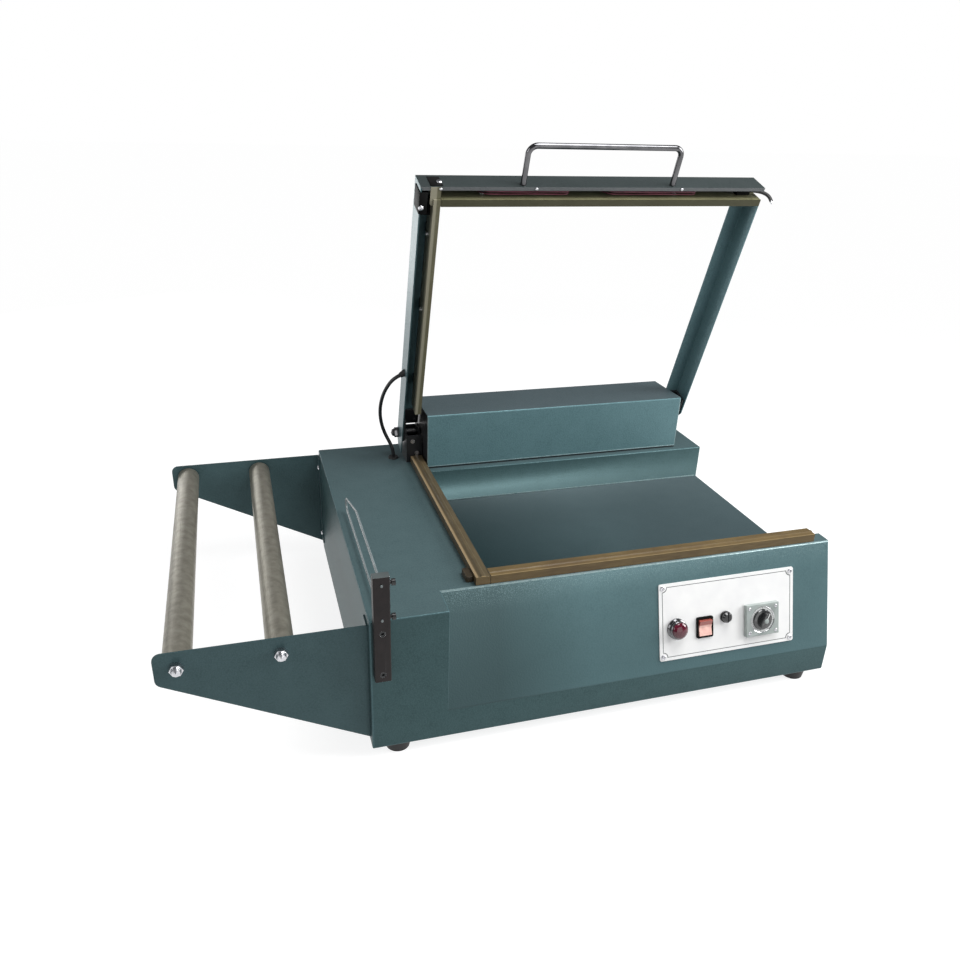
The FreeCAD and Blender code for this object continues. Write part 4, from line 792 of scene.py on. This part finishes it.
lights = {
    "frontLight": {"place": (1.0, -3.0, 0.6), "aim": (0, 0.1, 0.25), "size": 1.6, "power": 12},
    "rightLight": {"place": (2.4, -0.8, 1.2), "aim": (0, 0.1, 0.25), "size": 1.4, "power": 74},
    "leftLight": {"place": (-2.4, -0.6, 1.2), "aim": (0, 0.1, 0.25), "size": 1.4, "power": 18},
    "nearLight": {"place": (0.35, -0.3, 1.3), "aim": (0.1, 0.0, 0.2), "size": 0.7,
                  "power": 13},
    "rimLight": {"place": (-1.1, 2.3, 0.5), "aim": (0, 0.1, 0.4), "size": 1.2, "power": 12},
}
for name, look in lights.items():
    data = bpy.data.lights.new(name, "AREA")
    data.shape = "SQUARE"
    data.size = look["size"]
    data.energy = look["power"]
    lamp = bpy.data.objects.new(name, data)
    aim = Vector(look["aim"]) - Vector(look["place"])
    lamp.matrix_world = Matrix.Translation(look["place"]) @ aim.to_track_quat(
        "-Z", "Y").to_matrix().to_4x4()
    bpy.context.scene.collection.objects.link(lamp)


def seenDirectly(tree):
    # 1 for camera, mirror and glass rays
    path = addNode(tree, "ShaderNodeLightPath")
    seen = combined(tree, path.outputs["Is Camera Ray"], path.outputs["Is Glossy Ray"])
    seen = combined(tree, seen, path.outputs["Is Transmission Ray"])
    return combined(tree, seen, 1.0, "MINIMUM")


def makeWorld():
    look = {"light": (0.93, 0.96, 1.0), "lightStrength": 0.19, "backStrength": 1.0}
    world = bpy.data.worlds.new("studio")
    world.use_nodes = True
    tree = world.node_tree
    tree.nodes.clear()
    soft = addNode(tree, "ShaderNodeBackground",
                   {"Color": (*look["light"], 1), "Strength": look["lightStrength"]})
    back = addNode(tree, "ShaderNodeBackground",
                   {"Color": (1, 1, 1, 1), "Strength": look["backStrength"]})
    mix = addNode(tree, "ShaderNodeMixShader")
    output = addNode(tree, "ShaderNodeOutputWorld")
    path = addNode(tree, "ShaderNodeLightPath")
    tree.links.new(path.outputs["Is Camera Ray"], mix.inputs["Fac"])
    tree.links.new(soft.outputs[0], mix.inputs[1])
    tree.links.new(back.outputs[0], mix.inputs[2])
    tree.links.new(mix.outputs[0], output.inputs["Surface"])
    bpy.context.scene.world = world


def makeFloor():
    look = {"reach": 14.0, "paint": (0.34, 0.02), "glow": (0.82, 0.99), "fade": (1.1, 2.6),
            "bounce": 0.35}
    build = bmesh.new()
    bmesh.ops.create_grid(build, x_segments=1, y_segments=1, size=look["reach"])
    mesh = bpy.data.meshes.new("floor")
    build.to_mesh(mesh)
    build.free()
    floor = bpy.data.objects.new("floor", mesh)
    floor.location.z = -0.0002
    bpy.context.scene.collection.objects.link(floor)
    material, tree, shader = startMaterial("floorWhite")
    tree.nodes.remove(shader)
    away = addNode(tree, "ShaderNodeVectorMath", operation="LENGTH")
    tree.links.new(addNode(tree, "ShaderNodeTexCoord").outputs["Object"], away.inputs[0])
    paint = addNode(tree, "ShaderNodeBsdfDiffuse")
    near, far = [(value,) * 3 for value in look["paint"]]
    tree.links.new(blended(tree, spread(tree, away.outputs["Value"], 0, 1, *look["fade"]),
                           near, far), paint.inputs["Color"])
    glow = addNode(tree, "ShaderNodeEmission")
    tree.links.new(spread(tree, away.outputs["Value"], *look["glow"], *look["fade"]),
                   glow.inputs["Strength"])
    shown = addNode(tree, "ShaderNodeAddShader")
    bounce = addNode(tree, "ShaderNodeBsdfDiffuse", {"Color": (look["bounce"],) * 3 + (1,)})
    mix = addNode(tree, "ShaderNodeMixShader")
    tree.links.new(paint.outputs[0], shown.inputs[0])
    tree.links.new(glow.outputs[0], shown.inputs[1])
    tree.links.new(seenDirectly(tree), mix.inputs["Fac"])
    tree.links.new(bounce.outputs[0], mix.inputs[1])
    tree.links.new(shown.outputs[0], mix.inputs[2])
    tree.links.new(mix.outputs[0], tree.nodes["Material Output"].inputs["Surface"])
    mesh.materials.append(material)


makeWorld()
makeFloor()
bpy.context.scene.view_settings.view_transform = "Standard"
print("studio made")

# lead from the cabinet to the arm: the route's points, in metres
armLead = {
    "route": [(-0.09475, 0.20425, 0.2111), (-0.09475, 0.20425, 0.2201),
              (-0.09825, 0.20675, 0.2325), (-0.10525, 0.21025, 0.2465),
              (-0.11125, 0.21075, 0.2625), (-0.11525, 0.20725, 0.2815),
              (-0.11675, 0.19825, 0.3015), (-0.11625, 0.18525, 0.3205),
              (-0.11375, 0.17225, 0.3385), (-0.10705, 0.16265, 0.3553),
              (-0.09867, 0.15935, 0.36473), (-0.09088, 0.15786, 0.36898)],
    "diameter": 0.006, "length": 0.184, "steps": 12, "roundness": 5,
}


def makeArmLead():
    look = armLead
    line = smoothCurve("leadRoute", look["route"], look["steps"])
    path = [tuple(vertex.co) for vertex in bpy.data.meshes.new_from_object(line).vertices]
    mesh = thickened(line, look["diameter"] / 2, look["roundness"])
    piece = bpy.data.objects.new("armLead", mesh)
    bpy.context.scene.collection.objects.link(piece)
    mesh.polygons.foreach_set("use_smooth", [True] * len(mesh.polygons))
    finish(piece, "lead")
    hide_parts("arm_cable")
    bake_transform(piece)


makeArmLead()
print("lead made")

# tapes over the sealing bars; on the left bars each takes a copy of its finish with painted shade and a painted
# highlight band
lowerTapes = skinOf("lower_jaw_tapes", "lowerTapes", "cabinet", "lowerTape", 0.00025)
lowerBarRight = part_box("lower_jaw_left")[1][0] + 0.001
paintFaces(lowerTapes, "sideTape",
           lambda centre, normal: centre.x < lowerBarRight and normal.y > -0.5)
upperTapes = skinOf("upper_jaw_tapes", "upperTapes", "arm", "upperTape", 0.00025)
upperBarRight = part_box("upper_jaw_left")[1][0] + 0.0006
paintFaces(upperTapes, "sideUpperTape", lambda centre, normal: centre.x < upperBarRight)


def crossHead(name, radius, height):
    # domed screw head with a cross recess, standing on z = 0
    rim = 0.35    # share of the height that stands upright
    profile = [(0, 0), (radius, 0), (radius, rim * height)]
    for step in range(1, 6):
        turn = math.radians(15 * step)
        profile.append((radius * math.cos(turn), height * (rim + (1 - rim) * math.sin(turn))))
    profile.append((0, height))
    head = bpy.data.objects.new(name, latheMesh(name, profile, 36))
    bpy.context.scene.collection.objects.link(head)
    arm, half = 0.62 * radius, 0.12 * radius
    cross = [(half, half), (half, arm), (-half, arm), (-half, half), (-arm, half),
             (-arm, -half), (-half, -half), (-half, -arm), (half, -arm), (half, -half),
             (arm, -half), (arm, half)]
    cutterMesh = prismMesh(name + "Cut", cross, height)
    cutterMesh.transform(Matrix.Translation((0, 0, 0.45 * height)))
    cutter = bpy.data.objects.new(name + "Cut", cutterMesh)
    bpy.context.scene.collection.objects.link(cutter)
    recess = head.modifiers.new("recess", "BOOLEAN")
    recess.operation = "DIFFERENCE"
    recess.solver = "EXACT"
    recess.object = cutter
    bakeModifiers(head)
    result = head.data
    bpy.data.objects.remove(head)
    bpy.data.objects.remove(cutter)
    return result


def looseSolids(node):
    # corner points of each of a node's separate solids, sorted by their middles
    build = bmesh.new()
    build.from_mesh(frame["nodes"][node].data)
    bmesh.ops.remove_doubles(build, verts=build.verts, dist=1e-6)
    found = []
    seen = set()
    for first in build.verts:
        if first in seen:
            continue
        seen.add(first)
        stack = [first]
        group = []
        while stack:
            vertex = stack.pop()
            group.append(vertex.co.copy())
            for edge in vertex.link_edges:
                other = edge.other_vert(vertex)
                if other not in seen:
                    seen.add(other)
                    stack.append(other)
        found.append(group)
    build.free()
    found.sort(key=lambda group: [round(sum(point[i] for point in group) / len(group), 4)
                                  for i in range(3)])
    return found


# axis that the heads look along, and their size; turns of the crosses in degrees
screwTurns = (20, 65, 40, 80)
screws = {
    "control_plate_screws": {"name": "plateScrews", "axis": panelNormal, "radius": 0.0036,
                             "height": 0.0020, "shank": 0.004},
    "roll_bracket_screws": {"name": "standScrews", "axis": leftward, "radius": 0.0045,
                            "height": 0.003, "shank": 0.004},
}


def fitScrews(node, look):
    # each head ends where its screw's material ends along the axis
    name, axis, radius = look["name"], look["axis"], look["radius"]
    head = crossHead(name, radius, look["height"])
    shank = latheMesh(name + "Shank", [(0, -look["shank"]), (0.5 * radius, -look["shank"]),
                                       (0.5 * radius, 0), (0, 0)], 20)
    places = []
    for number, group in enumerate(looseSolids(node)):
        centre = sum(group, Vector()) / len(group)
        tip = max(point.dot(axis) for point in group)
        seat = centre + axis * (tip - centre.dot(axis)) - axis * look["height"]
        places.append(facing(seat, axis, screwTurns[number % len(screwTurns)]))
    piece = objectFrom(name, gathered(name, [head, shank], places), "cabinet")
    finish(piece, "zinc")
    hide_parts(node)


for node, look in screws.items():
    fitScrews(node, look)
print("screws made")


def placedPiece(name, mesh, matrix, body, key, *nodes):
    mesh.transform(matrix)
    if matrix.determinant() < 0:
        mesh.flip_normals()
    piece = objectFrom(name, mesh, body)
    finish(piece, key)
    if nodes:
        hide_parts(*nodes)


def notchedOutline(width, height, notch, steps=7):
    # rectangle whose corners are scooped by quarter circles
    outline = []
    for signX, signY, start in ((1, -1, 180), (1, 1, 270), (-1, 1, 0), (-1, -1, 90)):
        for step in range(steps + 1):
            turn = math.radians(start - 90 * step / steps)
            outline.append((signX * width / 2 + notch * math.cos(turn),
                            signY * height / 2 + notch * math.sin(turn)))
    return outline


def frameMesh(name, outer, inner, height):
    # flat band between two outlines with the same number of corners
    build = bmesh.new()
    loops = [[build.verts.new((x, y, z)) for x, y in outline]
             for outline, z in ((outer, 0), (outer, height), (inner, height), (inner, 0))]
    count = len(outer)
    for first, second in zip(loops, loops[1:] + loops[:1]):
        for i in range(count):
            build.faces.new((first[i], first[(i + 1) % count], second[(i + 1) % count],
                             second[i]))
    bmesh.ops.recalc_face_normals(build, faces=build.faces)
    mesh = bpy.data.meshes.new(name)
    build.to_mesh(mesh)
    build.free()
    return mesh


plateBorder = {"inset": 0.0047, "notch": 0.0068, "line": 0.0009, "height": 0.00008}


def makePlateBorder():
    look = plateBorder
    low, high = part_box("control_plate")
    width = high[0] - low[0] - 2 * look["inset"]
    height = (high[2] - low[2]) / panelUp.z - 2 * look["inset"]
    line = look["line"]
    outer = notchedOutline(width, height, look["notch"])
    inner = notchedOutline(width - 2 * line, height - 2 * line, look["notch"])
    mesh = frameMesh("plateBorder", outer, inner, look["height"])
    placedPiece("plateBorder", mesh, panelMatrix(onPanel(middle("control_plate"))), "cabinet",
                "borderGrey")


# heights over the plate
pilotLamp = {"collarRadius": 0.0128, "collarLow": 0.0042, "collarHigh": 0.0094,
             "beadRadius": 0.0136, "beadLow": 0.0054, "beadHigh": 0.0060, "chamfer": 0.0008,
             "lipWidth": 0.0006, "lensPlay": 0.00012, "lensRadius": 0.0112, "lensLow": 0.001,
             "lensShoulder": 0.0100, "lensHigh": 0.0138}


def makePilotLamp():
    look = pilotLamp
    place = panelMatrix(onPanel(middle("lamp_lens")))
    radius, low, high = look["collarRadius"], look["collarLow"], look["collarHigh"]
    inside = look["lensRadius"] + look["lensPlay"]
    collar = latheMesh("lampCollar", [(inside, low), (look["beadRadius"], low),
                                      (look["beadRadius"], look["beadLow"]),
                                      (radius, look["beadHigh"]),
                                      (radius, high - look["chamfer"]),
                                      (radius - look["lipWidth"], high), (inside, high)],
                       56, closed=True)
    placedPiece("lampCollar", collar, place, "cabinet", "darkChrome")
    radius, shoulder = look["lensRadius"], look["lensShoulder"]
    profile = [(0, look["lensLow"]), (radius, look["lensLow"]), (radius, shoulder)]
    for step in range(1, 8):
        turn = math.radians(90 * step / 8)
        profile.append((radius * math.cos(turn),
                        shoulder + (look["lensHigh"] - shoulder) * math.sin(turn)))
    profile.append((0, look["lensHigh"]))
    placedPiece("lampLens", latheMesh("lampLens", profile, 56), place, "cabinet", "lampRed",
                "lamp_lens")


# heights over the plate; angles in degrees from the right, turning left
timerDial = {"floor": 0.0045, "ringOuter": 0.0186, "ringInner": 0.0152, "ringHeight": 0.0009,
             "ringChamfer": (0.0004, 0.0003), "rimGap": 0.0004, "rimWidth": 0.0010,
             "rimHeight": 0.0018, "ticks": 31, "firstTick": 240, "sweep": 300, "longEvery": 5,
             "shortTick": (0.0002, 0.0006), "longTick": (0.0003, 0.0012),
             "tickHeight": 0.0001, "screwAt": (0.0208, 0.0178), "screwTurns": (20, 65, 50, 10),
             "frameTop": 0.0064, "screwRadius": 0.0023, "screwHeight": 0.0010}


def makeTimerFace(place):
    look = timerDial
    floor, outer, inner = look["floor"], look["ringOuter"], look["ringInner"]
    top = floor + look["ringHeight"]
    across, down = look["ringChamfer"]
    ring = latheMesh("timerRing", [(inner, floor), (outer, floor), (outer, top - down),
                                   (outer - across, top), (inner, top)], 64, closed=True)
    placedPiece("timerRing", ring, place, "cabinet", "dialWhite")
    rim = []
    for step in range(9):
        turn = math.pi * step / 8
        rim.append((outer + look["rimGap"] + look["rimWidth"] * math.cos(turn),
                    floor + look["rimHeight"] * math.sin(turn)))
    placedPiece("timerRim", latheMesh("timerRim", rim, 64, closed=True), place, "cabinet",
                "chromed")
    ticks = []
    for size, wanted in ((look["shortTick"], False), (look["longTick"], True)):
        wide, tall = size
        tick = prismMesh("tick", rectangle(-wide, wide, -tall, tall), look["tickHeight"])
        places = []
        for number in range(look["ticks"]):
            turn = math.radians(look["firstTick"] - number * look["sweep"] / (look["ticks"] - 1))
            if (number % look["longEvery"] == 0) == wanted:
                places.append(Matrix.Rotation(turn - math.pi / 2, 4, "Z")
                              @ Matrix.Translation((0, (outer + inner) / 2, top)))
        ticks.append(gathered("ticks", [tick], places))
    placedPiece("timerTicks", gathered("timerTicks", ticks, [Matrix()]), place, "cabinet", "ink")
    x, y = look["screwAt"]
    corners = [Matrix.Translation((*corner, look["frameTop"]))
               @ Matrix.Rotation(math.radians(turn), 4, "Z")
               for corner, turn in zip(((x, y), (-x, y), (x, -y), (-x, -y)),
                                       look["screwTurns"])]
    head = crossHead("timerScrew", look["screwRadius"], look["screwHeight"])
    placedPiece("timerFrameScrews", gathered("timerFrameScrews", [head], corners), place,
                "cabinet", "zinc")


# foot is over the plate and the other heights over the foot; turn is the grip's angle from
# the right, in degrees
timerKnob = {"foot": 0.0048, "radius": 0.0148, "skirtEdge": 0.0022, "skirtTop": 0.0030,
             "grip": (0.0225, 0.0088), "gripCorner": 0.004, "gripTop": 0.0108,
             "gripRounding": 0.0009, "turn": 62, "capRadius": 0.0033, "capHeight": 0.0007,
             "pointer": (0.0011, 0.0085), "pointerCorner": 0.0005, "pointerOut": 0.0069,
             "pointerHeight": 0.0002}


def makeTimerKnob(place):
    look = timerKnob
    foot, radius, skirtTop = look["foot"], look["radius"], look["foot"] + look["skirtTop"]
    skirt = latheMesh("timerSkirt", [(0, foot), (radius, foot),
                                     (radius, foot + look["skirtEdge"]),
                                     (radius - 0.0009, skirtTop + 0.0001),
                                     (radius - 0.0046, skirtTop + 0.0006),
                                     (radius - 0.0052, skirtTop), (0, skirtTop)], 64)
    placedPiece("timerSkirt", skirt, place, "timer_dial", "smokedPlastic")
    grip = prismMesh("timerGrip", roundedOutline(*look["grip"], look["gripCorner"]),
                     look["gripTop"] - look["skirtTop"], look["gripRounding"], 3)
    grip.transform(Matrix.Translation((0, 0, skirtTop))
                   @ Matrix.Rotation(math.radians(look["turn"]), 4, "Z"))
    placedPiece("timerGrip", grip, place, "timer_dial", "smokedPlastic", "timer_knob")
    top = Matrix.Translation((0, 0, foot + look["gripTop"]))
    edge, high = look["capRadius"], look["capHeight"]
    cap = latheMesh("timerCap", [(0, 0), (edge, 0), (edge, high - 0.0003),
                                 (edge - 0.0005, high), (0, high)], 40)
    placedPiece("timerCap", cap, place @ top, "timer_dial", "timerGrey")
    pointer = prismMesh("timerPointer", roundedOutline(*look["pointer"], look["pointerCorner"], 4),
                        look["pointerHeight"])
    aim = Matrix.Rotation(math.radians(look["turn"] - 90), 4, "Z")
    along = Matrix.Translation((0, look["pointerOut"], 0))
    placedPiece("timerPointer", pointer, place @ top @ aim @ along, "timer_dial", "dialWhite")


makePlateBorder()
makePilotLamp()
timerPlace = panelMatrix(onPanel(Vector(joints["timer_turn"]["pos_m"])))
makeTimerFace(timerPlace)
makeTimerKnob(timerPlace)
print("panel made")

# each strand: out from the shaft, depth and sway; the ends tuck in under the arm's top
redLeads = {"runs": ((0.006, 0.129), (0.190, 0.328)), "radius": 0.00095, "steps": 11,
            "strands": ((0.4365, 0.0318, 0.0011), (0.4318, 0.0290, 0.0017)),
            "tuck": (0.006, -0.002, 0.013), "waves": 1.6, "lag": 0.37, "flatter": 0.6}


def makeRedLeads():
    look = redLeads
    beyond, tuckOut, tuckDepth = look["tuck"]
    tubes = []
    for start, end in look["runs"]:
        for number, (out, depth, sway) in enumerate(look["strands"]):
            points = [(start - beyond, out + tuckOut, tuckDepth)]
            for step in range(look["steps"] + 1):
                share = step / look["steps"]
                wave = math.sin(2 * math.pi * (look["waves"] * share + look["lag"] * number))
                points.append((start + (end - start) * share,
                               out + look["flatter"] * sway * wave, depth + sway * wave))
            points.append((end + beyond, out + tuckOut, tuckDepth))
            line = smoothCurve("strand", [armPoint(*point) for point in points])
            tubes.append(thickened(line, look["radius"]))
    piece = objectFrom("redLeads", gathered("redLeads", tubes, [Matrix()]), "arm", 60)
    finish(piece, "redSleeve")
    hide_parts("heater_leads")


# short lead that leaves the arm's right end, with a bare tip
endLead = {"route": ((0.415, 0.4345, 0.020), (0.4300, 0.4345, 0.0235), (0.4400, 0.4340, 0.0265),
                     (0.4475, 0.4320, 0.0310), (0.4505, 0.4290, 0.0365),
                     (0.4508, 0.4265, 0.0405)),
           "radius": 0.0026, "tip": 0.0045, "tipRadius": 0.0015}


def makeEndLead():
    look = endLead
    route = [armPoint(*point) for point in look["route"]]
    mesh = thickened(smoothCurve("endLeadSleeve", route), look["radius"], roundness=4)
    sleeve = objectFrom("endLeadSleeve", mesh, "arm", 60)
    finish(sleeve, "rubber")
    axis = (route[-1] - route[-2]).normalized()
    radius, end = look["tipRadius"], look["tip"]
    tip = latheMesh("endLeadTip", [(0, -0.002), (radius, -0.002), (radius, end - 0.0008),
                                   (radius - 0.0005, end), (0, end)], 20)
    placedPiece("endLeadTip", tip, facing(route[-1], axis), "arm", "zinc")


# across is x in the frame; out is from the shaft; depth is below the arm's top face
cornerClip = {"out": (0.4075, 0.4375), "depth": (0.0080, 0.0378), "across": (-0.0851, -0.0738),
              "sheet": 0.0014, "rounding": 0.0004, "screw": (-0.0822, 0.4165),
              "headRadius": 0.0036, "headHeight": 0.0026, "turn": 25}


def makeCornerClip():
    # black angle over the free edge of the arm's left wall, with its screw
    look = cornerClip
    (low, high), (left, right), sheet = look["depth"], look["across"], look["sheet"]
    outline = [(left, low), (left, high), (right, high), (right, high - sheet),
               (left + sheet, high - sheet), (left + sheet, low)]
    start, end = look["out"]
    mesh = prismMesh("cornerClip", outline, end - start, look["rounding"])
    place = Matrix.Translation(armPoint(0, start, 0)) @ axesMatrix((1, 0, 0), armIn, armOut)
    placedPiece("cornerClip", mesh, place, "arm", "mattBlack")
    across, out = look["screw"]
    head = crossHead("cornerClipScrew", look["headRadius"], look["headHeight"])
    placedPiece("cornerClipScrew", head,
                facing(armPoint(across, out, high), armIn, look["turn"]), "arm", "zinc")


tapeTab = {"across": (-0.0702, -0.0558), "out": (0.4180, 0.4446), "depth": 0.0362,
           "thickness": 0.0005, "roundness": 0.6}


def makeTapeTab():
    # end of the side bar's tape, turned up over the lip and stuck down
    look = tapeTab
    left, right = look["across"]
    low, high = look["out"]
    half = (right - left) / 2
    outline = [(half, high), (-half, high)]
    for step in range(9):
        turn = math.radians(180 + 180 * step / 8)
        outline.append((half * math.cos(turn),
                        low + look["roundness"] * half * (1 + math.sin(turn))))
    mesh = prismMesh("tapeTab", outline, look["thickness"])
    corner = armPoint((left + right) / 2, 0, look["depth"] + look["thickness"])
    place = Matrix.Translation(corner) @ axesMatrix((1, 0, 0), armOut, -armIn)
    placedPiece("tapeTab", mesh, place, "arm", "sideUpperTape")


# each screw: x, then depth on the wall or distance out on the lip, then the head's radius
frontFixings = {"patchAcross": (-0.0700, -0.0530), "patchDepth": (0.0060, 0.0335),
                "patchSheet": 0.0007, "patchRounding": 0.0002, "lipDepth": 0.0365,
                "wallScrew": (-0.0562, 0.0225, 0.0042), "wallHead": 0.0026, "wallTurn": 30,
                "lipScrews": ((-0.0568, 0.4421, 0.0020), (0.0775, 0.4424, 0.0022),
                              (0.2985, 0.4424, 0.0022)),
                "lipHead": 0.0012, "lipTurn": 70}


def makeFrontFixings():
    # patch and screw on the front wall, and screws in its lip
    look = frontFixings
    sheet = look["patchSheet"]
    patch = prismMesh("frontPatch", rectangle(*look["patchAcross"], *look["patchDepth"]), sheet,
                      look["patchRounding"])
    place = Matrix.Translation(armPoint(0, armReach, 0)) @ axesMatrix((1, 0, 0), armIn, armOut)
    placedPiece("frontPatch", patch, place, "arm", "mattBlack")
    across, depth, radius = look["wallScrew"]
    heads = [gathered("head", [crossHead("head", radius, look["wallHead"])],
                      [facing(armPoint(across, armReach + sheet, depth), armOut,
                              look["wallTurn"])])]
    for across, out, radius in look["lipScrews"]:
        place = facing(armPoint(across, out, look["lipDepth"]), armIn, look["lipTurn"])
        heads.append(gathered("head", [crossHead("head", radius, look["lipHead"])], [place]))
    placedPiece("frontScrews", gathered("frontScrews", heads, [Matrix()]), Matrix(), "arm",
                "zinc")


makeRedLeads()
makeEndLead()
makeCornerClip()
makeTapeTab()
makeFrontFixings()
print("arm fittings made")

# strips along sheet edges, painted as highlights: at the rear of the tray, and along the foot of the housing's
# front
trayLip = {"height": 0.0022, "thickness": 0.0009, "rounding": 0.0003, "margin": 0.004,
           "behind": 0.002, "below": 0.0017}
housingHem = {"height": 0.0014, "thickness": 0.0005, "rounding": 0.0002, "margin": 0.001,
              "behind": 0.0002, "above": 0.0004}


def sheetEdge(name, look, left, right, y, z):
    # upright strip that faces the operator
    mesh = prismMesh(name, rectangle(left, right, 0, look["height"]), look["thickness"],
                     look["rounding"])
    place = Matrix.Translation((0, y, z)) @ Matrix.Rotation(math.radians(90), 4, "X")
    placedPiece(name, mesh, place, "cabinet", "paintEdge")


tray = next(item for item in frame["record"]["physics"]["openings"]
            if item["name"] == "sealing_tray")["box_m"]
sheetEdge("trayLip", trayLip, tray[0][0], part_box("cabinet_shell")[1][0] - trayLip["margin"],
          tray[1][1] + trayLip["behind"], tray[0][2] - trayLip["below"])
housingLow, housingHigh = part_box("hinge_housing")
sheetEdge("housingHem", housingHem, housingLow[0] + housingHem["margin"],
          housingHigh[0] - housingHem["margin"], housingLow[1] + housingHem["behind"],
          housingLow[2] + housingHem["above"])
print("sheet edges made")
